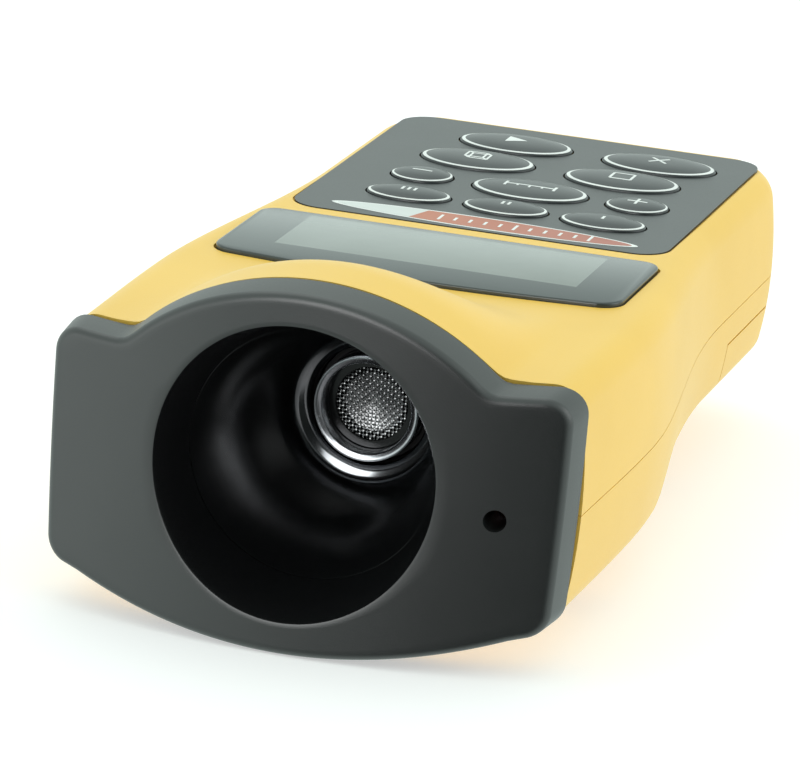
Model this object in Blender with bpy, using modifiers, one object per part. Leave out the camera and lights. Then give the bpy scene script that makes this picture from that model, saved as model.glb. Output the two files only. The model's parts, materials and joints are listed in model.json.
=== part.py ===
"""Hand-held ultrasonic distance meter with a laser pointer, as an assembly of separate parts.

Frame: metres, +Z up. The long axis is Y and the sound horn faces -Y. The origin is the middle of
the bottom of the bounding box. Keys face up and the battery door is underneath, at the back.
"""
import math

import bmesh
import bpy
from mathutils import Matrix, Vector

MM = 0.001

# Driving dimensions
FRONT_Y = -77.2 * MM        # middle of the horn's mouth
AXIS_Z = 26.5 * MM          # height of the horn's axis above the lowest point
GAP = 0.3 * MM              # clearance between fixed parts
FIT = 0.1 * MM              # clearance where one part sits on another
WALL = 2.0 * MM             # case wall

# Case: distances behind the mouth ("back") and above the horn's axis ("up")
CASE_END = 155.5 * MM
CASE_TOP = 15.0 * MM
END_PLAN_R = 12.0 * MM      # rounding of the rear corners, seen from above
END_EDGE_R = 3.5 * MM       # rounding of the rear top and bottom edges
HEAD_BOTTOM = -26.2 * MM
GRIP_BOTTOM = -15.7 * MM
SIDE_R = 4.5 * MM           # rounding along the top and bottom edges
PART_HEAD_UP = -4.0 * MM    # parting line in the head
PART_GRIP_UP = -1.5 * MM    # parting line in the grip
PART_STEP = (58 * MM, 36 * MM)        # start and length of the parting line's rise
HEAD_HALF_W = 39.0 * MM
HEAD_SPREAD = 0.7 * MM
HEAD_SPREAD_RUN = (7 * MM, 38 * MM)
GRIP_DRAW_IN = 5.3 * MM
GRIP_DRAW_RUN = (48 * MM, 64 * MM)
BOTTOM_STEP = (63 * MM, 21 * MM)
UPPER_LEAN = 0.8 * MM       # the side leans in by this much at the top edge
LOWER_LEAN = 1.0 * MM       # and by this much at the bottom edge
OUTER_STATIONS = [5, 10, 16, 22, 28, 34, 40, 46, 52, 58, 63, 68, 73, 78, 84, 95, 110, 143.5,
                  148, 151, 153, 154.5, 155.4]
INNER_STATIONS = [3, 16, 26, 36, 46, 56, 64, 70, 77, 84, 110, 143.5, 149, 152, 153.4]

# Round face of the bezel and the mound of the case behind it
MOUND_R = 37.3 * MM
MOUND_CENTRE_UP = -11.0 * MM
MOUND_FLAT_BACK = 16.0 * MM
MOUND_END_BACK = 52.0 * MM
MOUND_FOOT_R = 1.2 * MM     # softening where the mound meets the case's top
MOUND_FOOT_REACH = 6.0 * MM

# Front bezel
BEZEL_HALF_W = 38.3 * MM
BEZEL_WING_UP = 14.6 * MM
BEZEL_THICK = 7.0 * MM
BEZEL_CORNER_R = 4.0 * MM
SIDE_DRAFT = 0.0026 / MM    # widening of the sides for each metre behind SIDE_DRAFT_BACK
SIDE_DRAFT_BACK = 6.8 * MM
TOP_DRAFT = 0.0033 / MM     # rise of the top for each metre behind TOP_DRAFT_BACK
TOP_DRAFT_BACK = 7.6 * MM
BEZEL_BOTTOM_UP = -26.5 * MM
BOTTOM_ARC_R = 96.0 * MM
FACE_BOW_R = 110.6 * MM     # the face is bowed sideways
FACE_LEAN = math.radians(2.35)

# Horn
MOUTH_R = 21.4 * MM
THROAT_R = 11.3 * MM
THROAT_BACK = 36.0 * MM
HORN_WALL = 1.6 * MM
HORN_START = 10.8 * MM
HORN_END = 49.0 * MM
FLANGE_R = 23.7 * MM

# Transducer, a standard 16 mm can
CAN_R = 8.0 * MM
CAN_START = 35.5 * MM
CAN_END = 47.5 * MM
CAN_MOUTH_R = 6.8 * MM
CAN_WALL = 0.45 * MM
CAN_WINDOW_R = 5.5 * MM     # opening in the recessed front plate, behind which the mesh lies
CAN_PLATE_SUNK = 3.2 * MM
CAN_PLATE_THICK = 0.25 * MM
MESH_THICK = 0.3 * MM
DISC_R = 4.2 * MM
PIN_R = 0.45 * MM
PIN_APART = 2.5 * MM        # from the axis to each pin
SOCKET_FIT = 1.0 * MM       # room round the can for its rubber grommet
GROMMET_START = 5.0 * MM    # behind the can's front

# Laser pointer
LASER_X = 29.3 * MM
LASER_UP = -3.3 * MM
LASER_HOLE_R = 1.6 * MM
BARREL_R = 3.25 * MM
BARREL_START = 11.8 * MM
BARREL_END = 27.0 * MM

# Display
PLATE_HALF_W = 31.7 * MM
PLATE_NEAR = 52.4 * MM
PLATE_FAR = 80.9 * MM
PLATE_NEAR_BOW_R = 184.0 * MM
PLATE_TOP = 15.7 * MM
PLATE_THICK = 1.3 * MM
PLATE_FAR_CORNER_R = 3.0 * MM
PLATE_NEAR_CORNER_R = 4.0 * MM
LCD_HALF_W = 25.4 * MM
LCD_NEAR = 60.4 * MM
LCD_FAR = 80.6 * MM
VIEW_HALF_W = 24.6 * MM     # opening in the case over the LCD
VIEW_NEAR = 60.2 * MM
VIEW_FAR = 79.9 * MM
LCD_LOW = 10.9 * MM
LCD_TOP = 12.5 * MM

# Keypad
FILM_HALF_W = 30.1 * MM
FILM_NEAR = 86.4 * MM
FILM_FAR = 151.6 * MM
FILM_CORNER_R = 5.0 * MM
FILM_TOP = 15.1 * MM
FILM_THICK = 0.4 * MM
KEY_TRAVEL = 0.45 * MM
KEY_TOP = 16.1 * MM
KEY_EDGE = 15.35 * MM
KEY_FLANGE_TOP = 12.6 * MM
KEY_FLANGE_LOW = 11.6 * MM
KEY_FOOT = 9.5 * MM
KEY_FOOT_R = 2.0 * MM

# name: (x, back, half width, half length), in millimetres
KEYS = {
    "key_memory_3": (-14.8, 101.3, 7.0, 4.5),
    "key_memory_2": (1.1, 101.0, 7.0, 4.5),
    "key_memory_1": (16.9, 100.7, 7.0, 4.5),
    "key_minus": (-16.4, 113.6, 5.2, 4.6),
    "key_units": (1.5, 113.4, 9.6, 6.2),
    "key_plus": (19.0, 113.2, 5.2, 4.6),
    "key_volume": (-11.3, 127.4, 9.6, 6.2),
    "key_area": (12.8, 127.1, 9.6, 6.2),
    "key_start": (-8.7, 140.6, 9.6, 6.0),
    "key_clear": (15.4, 140.2, 9.6, 6.0),
}

# Electronics and battery
BOARD_HALF_W = 24.5 * MM
BOARD_NEAR = 57.0 * MM
BOARD_FAR = 151.2 * MM
BOARD_LOW = 7.0 * MM
BOARD_THICK = 1.6 * MM
DOME_R = 3.5 * MM
DOME_H = 0.4 * MM
BATTERY = Vector((46.5, 26.5, 17.5)) * MM
BATTERY_X = 1.2 * MM
BATTERY_BACK = 135.0 * MM
BATTERY_LOW = -12.3 * MM
STUD_APART = 6.35 * MM      # from the battery's middle to each contact
DOOR_NEAR = 119.0 * MM
DOOR_EDGE_UP = -6.5 * MM
BULKHEAD_HALF_W = 26.0 * MM
BULKHEAD_BACK = 115.6 * MM
BULKHEAD_LOW = -14.6 * MM
BULKHEAD_TOP = 4.0 * MM
TONGUE_HALF_W = 6.0 * MM    # the door's tongue, which enters a slot in the bulkhead
TONGUE_TIP = 114.6 * MM
TONGUE_END = 124.0 * MM
TONGUE_LOW = -13.5 * MM
TONGUE_TOP = -12.75 * MM
RIB_COUNT = 5
RIB_START = 129.0 * MM
RIB_PITCH = 3.2 * MM
RIB_WIDE = 1.2 * MM
RIB_HALF_W = 9.0 * MM
RIB_HEIGHT = 0.5 * MM

# Fasteners: (x, back)
CASE_SCREWS = [(-32.0 * MM, 42.0 * MM), (32.0 * MM, 42.0 * MM),
               (-28.2 * MM, 104.0 * MM), (28.2 * MM, 104.0 * MM)]
BOARD_SCREWS = [(-21.3 * MM, 88.5 * MM), (21.3 * MM, 88.5 * MM)]
BOARD_RESTS = [(-21.3 * MM, 148.8 * MM), (21.3 * MM, 148.8 * MM)]
SCREW_HEAD_END = 60 * MM    # screws nearer than this sit in the deep head
HEAD_SEAT_UP = -14.0 * MM
GRIP_SEAT_UP = -9.0 * MM
HEAD_SEAT_THICK = 5.0 * MM
GRIP_SEAT_THICK = 3.2 * MM
BOSS_TOP = 13.5 * MM        # bosses run up into the case's top wall
SCREW_R = 1.25 * MM
SCREW_TIP = 9.0 * MM
SCREW_HEAD_H = 1.8 * MM
SCREW_SLOT = 1.5 * MM
POST_SCREW_TIP = 12.0 * MM
POST_HEAD_R = 1.8 * MM
POST_HEAD_H = 1.1 * MM
POST_SLOT = 1.0 * MM
PILOT_FIT = 0.15 * MM       # room round a screw in its boss
BORE_FIT = 0.3 * MM         # room round a screw in the lower case
WELL_FIT = 0.4 * MM         # room round a screw's head
SCREW_HEAD_R = 2.6 * MM
BOSS_R = 3.2 * MM
POST_R = 2.2 * MM
POST_SCREW_R = 0.85 * MM

for old in list(bpy.data.objects):
    bpy.data.objects.remove(old, do_unlink=True)

PARTS = bpy.data.collections.new("distance_meter")
CUTTERS = bpy.data.collections.new("cutters")
bpy.context.scene.collection.children.link(PARTS)
bpy.context.scene.collection.children.link(CUTTERS)


# ---------------------------------------------------------------- helpers

def at(x, back, up):
    """World point from its side, its distance behind the mouth and its height over the horn axis."""
    return Vector((x, FRONT_Y + back, AXIS_Z + up))


def smooth_step(t):
    t = max(0.0, min(1.0, t))
    return t * t * (3.0 - 2.0 * t)


def material(name, colour, roughness, metallic=0.0, alpha=1.0):
    mat = bpy.data.materials.new(name)
    mat.use_nodes = True
    shader = mat.node_tree.nodes["Principled BSDF"]
    shader.inputs["Base Color"].default_value = (*colour, 1.0)
    shader.inputs["Roughness"].default_value = roughness
    shader.inputs["Metallic"].default_value = metallic
    shader.inputs["Alpha"].default_value = alpha
    return mat


YELLOW = material("yellow_abs", (0.92, 0.60, 0.13), 0.42)
BLACK_SATIN = material("black_satin_abs", (0.03, 0.035, 0.038), 0.45)
BLACK_GLOSS = material("black_gloss_abs", (0.008, 0.008, 0.009), 0.15)
GREY_FILM = material("grey_film", (0.10, 0.115, 0.12), 0.4)
GREY_PLATE = material("grey_acrylic", (0.14, 0.17, 0.17), 0.12)
LCD_GLASS = material("lcd_glass", (0.45, 0.48, 0.45), 0.2)
WHITE_PLASTIC = material("white_plastic", (0.8, 0.8, 0.78), 0.5)
RUBBER = material("black_rubber", (0.02, 0.02, 0.02), 0.8)
FOAM = material("grey_foam", (0.12, 0.12, 0.12), 0.95)
ALUMINIUM = material("aluminium", (0.75, 0.76, 0.77), 0.3, 1.0)
STEEL = material("steel", (0.6, 0.6, 0.6), 0.3, 1.0)
BRASS = material("brass", (0.75, 0.55, 0.22), 0.25, 1.0)
CERAMIC = material("piezo_ceramic", (0.55, 0.52, 0.45), 0.6)
GLASS = material("lens_glass", (0.9, 0.95, 0.95), 0.05, 0.0, 0.4)
GREEN_BOARD = material("green_board", (0.02, 0.16, 0.05), 0.4)
BLACK_EPOXY = material("black_epoxy", (0.02, 0.02, 0.02), 0.5)
BLUE_SLEEVE = material("blue_sleeve", (0.03, 0.06, 0.25), 0.4)
BATTERY_SKIN = material("battery_skin", (0.05, 0.05, 0.06), 0.3)
RED_WIRE = material("red_wire", (0.5, 0.02, 0.02), 0.5)
BLACK_WIRE = material("black_wire", (0.01, 0.01, 0.01), 0.5)
GREY_WIRE = material("grey_wire", (0.3, 0.3, 0.3), 0.5)


def add_object(name, mesh, mat=None, location=(0.0, 0.0, 0.0)):
    """A new object, in the parts collection when it has a material and among the cutters if not."""
    obj = bpy.data.objects.new(name, mesh)
    obj.location = location
    if mat is None:
        CUTTERS.objects.link(obj)
        obj.hide_render = True
        obj.display_type = 'WIRE'
    else:
        PARTS.objects.link(obj)
        mesh.materials.append(mat)
    return obj


def bake(obj):
    """Applies an object's modifiers."""
    bpy.context.view_layer.update()
    evaluated = obj.evaluated_get(bpy.context.evaluated_depsgraph_get())
    mesh = bpy.data.meshes.new_from_object(evaluated)
    obj.modifiers.clear()
    obj.data = mesh
    return obj


def combine(obj, others, operation):
    """Cuts, joins or intersects an object with others, which become cutters."""
    for other in others:
        modifier = obj.modifiers.new(operation.lower(), 'BOOLEAN')
        modifier.operation = operation
        modifier.solver = 'EXACT'
        modifier.object = other
    return bake(obj)


def cut(obj, *others):
    return combine(obj, others, 'DIFFERENCE')


def join(obj, *others):
    return combine(obj, others, 'UNION')


def keep_inside(obj, other):
    return combine(obj, [other], 'INTERSECT')


def box(name, low, high, mat=None):
    """A box between two corners, each given as side, back and up; its origin is its centre."""
    a, b = at(*low), at(*high)
    bm = bmesh.new()
    bmesh.ops.create_cube(bm, size=1.0)
    bmesh.ops.scale(bm, vec=b - a, verts=bm.verts)
    mesh = bpy.data.meshes.new(name)
    bm.to_mesh(mesh)
    bm.free()
    return add_object(name, mesh, mat, (a + b) / 2)


def rod(name, radius, start, end, mat=None, sides=24, end_radius=None):
    """A cylinder or cone between two points."""
    a, b = at(*start), at(*end)
    bm = bmesh.new()
    bmesh.ops.create_cone(bm, cap_ends=True, segments=sides, radius1=radius,
                          radius2=radius if end_radius is None else end_radius,
                          depth=(b - a).length)
    turn = (b - a).to_track_quat('Z', 'Y').to_matrix().to_4x4()
    bmesh.ops.transform(bm, matrix=turn, verts=bm.verts)
    mesh = bpy.data.meshes.new(name)
    bm.to_mesh(mesh)
    bm.free()
    return add_object(name, mesh, mat, (a + b) / 2)


def turned(name, profile, centre, mat=None, steps=48, along_y=True, stretch=1.0):
    """A turned shape: (radius, height) points down the outer side, spun about the height axis.

    along_y lays the height axis along -Y, so that a greater height is nearer the front.
    """
    mesh = bpy.data.meshes.new(name)
    closed = profile[0][0] > 0.0
    edges = [(i, i + 1) for i in range(len(profile) - 1)]
    if closed:
        edges.append((len(profile) - 1, 0))
    mesh.from_pydata([(r, 0.0, h) for r, h in profile], edges, [])
    obj = add_object(name, mesh, mat, at(*centre))
    screw = obj.modifiers.new("turn", 'SCREW')
    screw.axis = 'Z'
    screw.steps = steps
    screw.render_steps = steps
    screw.use_merge_vertices = True
    screw.merge_threshold = 0.00002
    bake(obj)
    shape = Matrix.Diagonal((1.0, stretch, 1.0, 1.0))
    if along_y:
        shape = Matrix.Rotation(math.radians(90), 4, 'X') @ shape
    obj.data.transform(shape)
    obj.data.shade_smooth()
    obj.data.set_sharp_from_angle(angle=math.radians(35))
    return obj


def slab(name, outline, low, high, mat=None):
    """A flat outline of (x, back) points, between two heights."""
    curve = bpy.data.curves.new(name, 'CURVE')
    curve.dimensions = '2D'
    curve.fill_mode = 'BOTH'
    curve.extrude = (high - low) / 2
    spline = curve.splines.new('POLY')
    spline.points.add(len(outline) - 1)
    for point, (x, back) in zip(spline.points, outline):
        point.co = (x, FRONT_Y + back, 0.0, 1.0)
    spline.use_cyclic_u = True
    return curve_to_mesh(name, curve, Matrix.Translation((0, 0, AXIS_Z + (low + high) / 2)), mat)


def upright_slab(name, outline, near, far, mat=None):
    """A flat outline of (x, up) points, standing up between two distances behind the mouth."""
    curve = bpy.data.curves.new(name, 'CURVE')
    curve.dimensions = '2D'
    curve.fill_mode = 'BOTH'
    curve.extrude = (far - near) / 2
    spline = curve.splines.new('POLY')
    spline.points.add(len(outline) - 1)
    for point, (x, up) in zip(spline.points, outline):
        point.co = (x, up, 0.0, 1.0)
    spline.use_cyclic_u = True
    place = Matrix.Translation(at(0.0, (near + far) / 2, 0.0)) @ Matrix.Rotation(math.radians(90), 4, 'X')
    return curve_to_mesh(name, curve, place, mat)


def side_slab(name, outline, half_width, mat=None):
    """A side view outline of (back, up) points, run across the whole width."""
    curve = bpy.data.curves.new(name, 'CURVE')
    curve.dimensions = '2D'
    curve.fill_mode = 'BOTH'
    curve.extrude = half_width
    spline = curve.splines.new('POLY')
    spline.points.add(len(outline) - 1)
    for point, (back, up) in zip(spline.points, outline):
        point.co = (back, up, 0.0, 1.0)
    spline.use_cyclic_u = True
    turn = Matrix(((0, 0, 1, 0), (1, 0, 0, 0), (0, 1, 0, 0), (0, 0, 0, 1)))
    return curve_to_mesh(name, curve, Matrix.Translation(at(0.0, 0.0, 0.0)) @ turn, mat)


def curve_to_mesh(name, curve, place, mat):
    """Turns a curve into a closed mesh object with its place in the mesh."""
    guide = bpy.data.objects.new(name + "_curve", curve)
    CUTTERS.objects.link(guide)
    bpy.context.view_layer.update()
    evaluated = guide.evaluated_get(bpy.context.evaluated_depsgraph_get())
    mesh = bpy.data.meshes.new_from_object(evaluated)
    bpy.data.objects.remove(guide, do_unlink=True)
    bm = bmesh.new()
    bm.from_mesh(mesh)
    bmesh.ops.remove_doubles(bm, verts=bm.verts, dist=0.000001)
    bmesh.ops.transform(bm, matrix=place, verts=bm.verts)
    bmesh.ops.recalc_face_normals(bm, faces=bm.faces)
    bm.to_mesh(mesh)
    bm.free()
    mesh.name = name
    mesh.materials.clear()
    return add_object(name, mesh, mat)


def wire(name, points, radius, mat):
    """A lead: a round wire on a smooth curve through a few points."""
    knots = [at(*p) for p in points]
    ends = [knots[0] * 2 - knots[1]] + knots + [knots[-1] * 2 - knots[-2]]
    path = []
    for a, b, c, d in zip(ends, ends[1:], ends[2:], ends[3:]):
        for step in range(3):
            t = step / 3
            path.append(0.5 * (2 * b + (c - a) * t + (2 * a - 5 * b + 4 * c - d) * t ** 2
                               + (3 * b - a - 3 * c + d) * t ** 3))
    path.append(knots[-1])
    curve = bpy.data.curves.new(name, 'CURVE')
    curve.dimensions = '3D'
    curve.bevel_depth = radius
    curve.bevel_resolution = 1
    curve.use_fill_caps = True
    spline = curve.splines.new('POLY')
    spline.points.add(len(path) - 1)
    for point, co in zip(spline.points, path):
        point.co = (*co, 1.0)
    return curve_to_mesh(name, curve, Matrix.Identity(4), mat)


def rounded_rectangle(half_w, near, far, radius, steps=5):
    """(x, back) points of a rectangle with round corners."""
    points = []
    corners = [(half_w, far, 0), (-half_w, far, 90), (-half_w, near, 180), (half_w, near, 270)]
    for x, back, start in corners:
        cx = x - math.copysign(radius, x)
        cy = back - radius if back == far else back + radius
        for i in range(steps + 1):
            angle = math.radians(start + 90 * i / steps)
            points.append((cx + radius * math.cos(angle), cy + radius * math.sin(angle)))
    return points


# ---------------------------------------------------------------- case

def run_share(back, run):
    """How far along a run (start, length) a station is, from 0 to 1 with soft ends."""
    start, length = run
    return smooth_step((back - start) / length)


def half_width(back):
    """Half width of the case: a broad head that draws in to the grip."""
    head = HEAD_HALF_W + HEAD_SPREAD * run_share(back, HEAD_SPREAD_RUN)
    return head - GRIP_DRAW_IN * run_share(back, GRIP_DRAW_RUN)


def bottom_up(back):
    """Underside of the case on its middle line: a deep head, then a step up to the grip."""
    return HEAD_BOTTOM + (GRIP_BOTTOM - HEAD_BOTTOM) * run_share(back, BOTTOM_STEP)


def mound_height(x, back):
    """Height of the round mound over the case's top, where the horn passes under it."""
    arc = MOUND_CENTRE_UP + math.sqrt(max(MOUND_R ** 2 - x * x, 0.0)) - CASE_TOP
    rounded = 0.5 * (arc + math.sqrt(arc * arc + MOUND_FOOT_R ** 2))
    run = (back - MOUND_FLAT_BACK) / (MOUND_END_BACK - MOUND_FLAT_BACK)
    fade = 0.5 + 0.5 * math.cos(math.pi * max(0.0, min(1.0, run)))
    return rounded * fade if arc > -MOUND_FOOT_REACH else 0.0


def case_section(back, inset, fineness):
    """Half of the case's outline at one station, from the top middle round to the bottom middle.

    fineness is the number of steps along the top; the corners and the bottom take half as many.
    """
    fewer = fineness // 2
    end = CASE_END - inset
    plan_r = END_PLAN_R - inset
    half = half_width(back) - inset
    into_end = max(0.0, back - (end - plan_r))
    half -= plan_r - math.sqrt(max(plan_r ** 2 - into_end ** 2, 0.0))
    edge_r = max(END_EDGE_R - inset, 0.5 * MM)
    into_edge = max(0.0, back - (end - edge_r))
    drop = edge_r - math.sqrt(max(edge_r ** 2 - into_edge ** 2, 0.0))
    top = CASE_TOP - inset - drop
    low = bottom_up(back) + inset + drop
    radius = SIDE_R - inset * 0.75
    head_share = smooth_step((sum(BOTTOM_STEP) - back) / BOTTOM_STEP[1])
    bow = head_share / (2 * BOTTOM_ARC_R)
    upper_half = half - UPPER_LEAN
    lower_half = half - LOWER_LEAN
    points = []
    for i in range(fineness + 1):
        x = (upper_half - radius) * i / fineness
        points.append((x, top + mound_height(x, back)))
    for i in range(1, fewer + 1):
        angle = math.radians(90 - 90 * i / fewer)
        points.append((upper_half - radius + radius * math.cos(angle),
                       top - radius + radius * math.sin(angle)))
    corner_x = lower_half - radius
    corner_up = low + bow * corner_x ** 2 + radius
    middle = (top - radius + corner_up) / 2
    points.append((half, middle + 2 * MM))
    points.append((half, middle - 2 * MM))
    for i in range(fewer + 1):
        angle = math.radians(-75 * i / fewer)
        points.append((corner_x + radius * math.cos(angle), corner_up + radius * math.sin(angle)))
    for i in range(1, fewer + 1):
        x = corner_x * (1 - i / fewer)
        points.append((x, low + bow * x * x))
    return points


def case_loft(name, stations, inset, fineness):
    """Closed body through the case's sections."""
    bm = bmesh.new()
    rings = []
    for back in stations:
        half = case_section(back, inset, fineness)
        outline = half + [(-x, up) for x, up in reversed(half[1:-1])]
        rings.append([bm.verts.new(at(x, back, up)) for x, up in outline])
    for near, far in zip(rings, rings[1:]):
        for i in range(len(near)):
            j = (i + 1) % len(near)
            bm.faces.new((near[i], near[j], far[j], far[i]))
    bm.faces.new(rings[0])
    bm.faces.new(reversed(rings[-1]))
    bmesh.ops.recalc_face_normals(bm, faces=bm.faces)
    bmesh.ops.triangulate(bm, faces=bm.faces)
    mesh = bpy.data.meshes.new(name)
    bm.to_mesh(mesh)
    bm.free()
    return add_object(name, mesh)


def bowed_block(name, behind):
    """Everything in front of the bezel's bowed, leaning face, moved back by a distance."""
    steps = 14
    reach = 46 * MM
    outline = [(-reach, -30 * MM), (reach, -30 * MM)]
    for i in range(steps + 1):
        x = reach - 2 * reach * i / steps
        outline.append((x, FACE_BOW_R - math.sqrt(FACE_BOW_R ** 2 - x * x)))
    block = slab(name, [(x, back) for x, back in outline], -40 * MM, 40 * MM)
    lean = Matrix.Rotation(-FACE_LEAN, 4, 'X')
    pivot = Matrix.Translation(at(0, 0, 0))
    block.data.transform(Matrix.Translation((0, behind, 0)) @ pivot @ lean @ pivot.inverted())
    return block


def parting_outline(shift):
    """Side view of all that lies above the parting line, raised by a shift."""
    points = []
    for i in range(25):
        back = -20 * MM + 200 * MM * i / 24
        rise = (PART_GRIP_UP - PART_HEAD_UP) * run_share(back, PART_STEP)
        points.append((back, PART_HEAD_UP + rise + shift))
    return points + [(180 * MM, 60 * MM), (-20 * MM, 60 * MM)]


def make_shell():
    """The whole hollow case, before it is parted."""
    shell = case_loft("shell", [s * MM for s in OUTER_STATIONS], 0.0, 8)
    hollow = case_loft("hollow", [s * MM for s in INNER_STATIONS], WALL, 4)
    cut(shell, hollow, bowed_block("front_cut", BEZEL_THICK + GAP))
    return shell


def copy_as_part(source, name, mat):
    mesh = source.data.copy()
    mesh.materials.clear()
    return add_object(name, mesh, mat)


def key_outline(x, back, half_w, half_l, grow, steps=20):
    points = []
    for i in range(steps):
        angle = 2 * math.pi * i / steps
        points.append((x + (half_w + grow) * math.cos(angle), back + (half_l + grow) * math.sin(angle)))
    return points


def make_upper_case(shell):
    upper = copy_as_part(shell, "upper_case", YELLOW)
    keep_inside(upper, side_slab("above_parting", parting_outline(GAP / 2), 60 * MM))
    bosses = []
    for number, (x, back) in enumerate(CASE_SCREWS):
        bosses.append(rod(f"boss_{number}", BOSS_R, (x, back, 2 * MM), (x, back, BOSS_TOP), sides=16))
    for number, (x, back) in enumerate(BOARD_SCREWS + BOARD_RESTS):
        bosses.append(rod(f"post_{number}", POST_R, (x, back, BOARD_LOW + BOARD_THICK + FIT),
                          (x, back, BOSS_TOP), sides=12))
    join(upper, *bosses)
    cutters = [slab("plate_recess", plate_outline(GAP), PLATE_TOP - PLATE_THICK - FIT, 20 * MM),
               slab("film_recess", rounded_rectangle(FILM_HALF_W + GAP, FILM_NEAR - GAP, FILM_FAR + GAP,
                                                     FILM_CORNER_R + GAP), FILM_TOP - FILM_THICK - FIT,
                    20 * MM),
               box("display_opening", (-VIEW_HALF_W, VIEW_NEAR, 10 * MM), (VIEW_HALF_W, VIEW_FAR, 20 * MM))]
    for name, numbers in KEYS.items():
        x, back, half_w, half_l = (n * MM for n in numbers)
        cutters.append(slab(name + "_hole", key_outline(x, back, half_w, half_l, FIT), 12 * MM, 20 * MM))
    for number, (x, back) in enumerate(CASE_SCREWS):
        cutters.append(rod(f"pilot_{number}", SCREW_R + PILOT_FIT, (x, back, -1 * MM), (x, back, 11.5 * MM),
                           sides=12))
    for number, (x, back) in enumerate(BOARD_SCREWS):
        cutters.append(rod(f"post_pilot_{number}", POST_SCREW_R + PILOT_FIT, (x, back, 5 * MM),
                           (x, back, 12.5 * MM), sides=8))
    cut(upper, *cutters)


def door_region(name, grow):
    """The corner of the case that the battery door covers."""
    return box(name, (-50 * MM, DOOR_NEAR + grow, -40 * MM), (50 * MM, 170 * MM, DOOR_EDGE_UP - grow))


def make_lower_case(shell):
    lower = copy_as_part(shell, "lower_case", YELLOW)
    cut(lower, side_slab("over_parting", parting_outline(-GAP / 2), 60 * MM))
    cut(lower, door_region("door_opening", 0.0))
    bosses = []
    for number, (x, back) in enumerate(CASE_SCREWS):
        low = screw_seat_up(back) - (HEAD_SEAT_THICK if back < SCREW_HEAD_END else GRIP_SEAT_THICK)
        bosses.append(rod(f"lower_boss_{number}", BOSS_R + BORE_FIT, (x, back, low), (x, back, 1.6 * MM),
                          sides=16))
    bosses.append(box("bulkhead", (-BULKHEAD_HALF_W, BULKHEAD_BACK, BULKHEAD_LOW),
                      (BULKHEAD_HALF_W, BULKHEAD_BACK + 1.6 * MM, BULKHEAD_TOP)))
    join(lower, *bosses)
    cutters = [box("tongue_slot", (-7 * MM, 114 * MM, -13.8 * MM), (7 * MM, 118 * MM, -11.5 * MM))]
    for number, (x, back) in enumerate(CASE_SCREWS):
        seat = screw_seat_up(back)
        cutters.append(rod(f"screw_hole_{number}", SCREW_R + BORE_FIT, (x, back, -30 * MM), (x, back, 5 * MM),
                           sides=12))
        cutters.append(rod(f"screw_well_{number}", SCREW_HEAD_R + WELL_FIT, (x, back, -40 * MM),
                           (x, back, seat), sides=20))
    cut(lower, *cutters)


def screw_seat_up(back):
    """Height of the seat that a case screw's head draws up to."""
    return HEAD_SEAT_UP if back < SCREW_HEAD_END else GRIP_SEAT_UP


def make_battery_door(shell):
    """Slide-off cover: it wraps the lower corners of the grip and its rear end."""
    door = copy_as_part(shell, "battery_door", YELLOW)
    keep_inside(door, door_region("door_body", GAP))
    tongue = box("tongue", (-TONGUE_HALF_W, TONGUE_TIP, TONGUE_LOW), (TONGUE_HALF_W, TONGUE_END, TONGUE_TOP))
    tongue_root = box("tongue_root", (-TONGUE_HALF_W, TONGUE_END - 3 * MM, BULKHEAD_LOW),
                      (TONGUE_HALF_W, TONGUE_END, TONGUE_LOW + 0.5 * MM))
    join(door, tongue, tongue_root)
    ribs = []
    for number in range(RIB_COUNT):
        back = RIB_START + RIB_PITCH * number
        ribs.append(box(f"rib_{number}", (-RIB_HALF_W, back, GRIP_BOTTOM - RIB_HEIGHT),
                        (RIB_HALF_W, back + RIB_WIDE, GRIP_BOTTOM + 0.7 * MM)))
    join(door, *ribs)


def make_bezel():
    """Front face: a bowed, leaning plate with a round top, a cone-shaped mouth and the laser's hole."""
    outline = bezel_outline()
    bezel = upright_slab("front_bezel", outline, -8 * MM, 22 * MM, BLACK_SATIN)
    lean_sides(bezel)
    cut(bezel, bowed_block("face_cut", 0.0))
    keep_inside(bezel, bowed_block("back_cut", BEZEL_THICK))
    collar = rod("mouth_collar", FLANGE_R, (0, 4 * MM, 0), (0, HORN_START - GAP, 0), sides=64)
    join(bezel, collar)
    mouth = rod("mouth", wall_radius(-8 * MM), (0, -8 * MM, 0), (0, 14 * MM, 0), sides=64,
                end_radius=wall_radius(14 * MM))
    laser_hole = rod("laser_hole", LASER_HOLE_R, (LASER_X, -4 * MM, LASER_UP),
                     (LASER_X, 20 * MM, LASER_UP), sides=20)
    cut(bezel, mouth, laser_hole)


def lean_sides(bezel):
    """Gives the bezel's sides and top their mould draft: they spread towards the back."""
    for vertex in bezel.data.vertices:
        back = vertex.co.y - FRONT_Y
        up = vertex.co.z - AXIS_Z
        vertex.co.x *= 1 + SIDE_DRAFT * (back - SIDE_DRAFT_BACK)
        if up > 0:
            vertex.co.z = AXIS_Z + up * (1 + TOP_DRAFT * (back - TOP_DRAFT_BACK))


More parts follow.
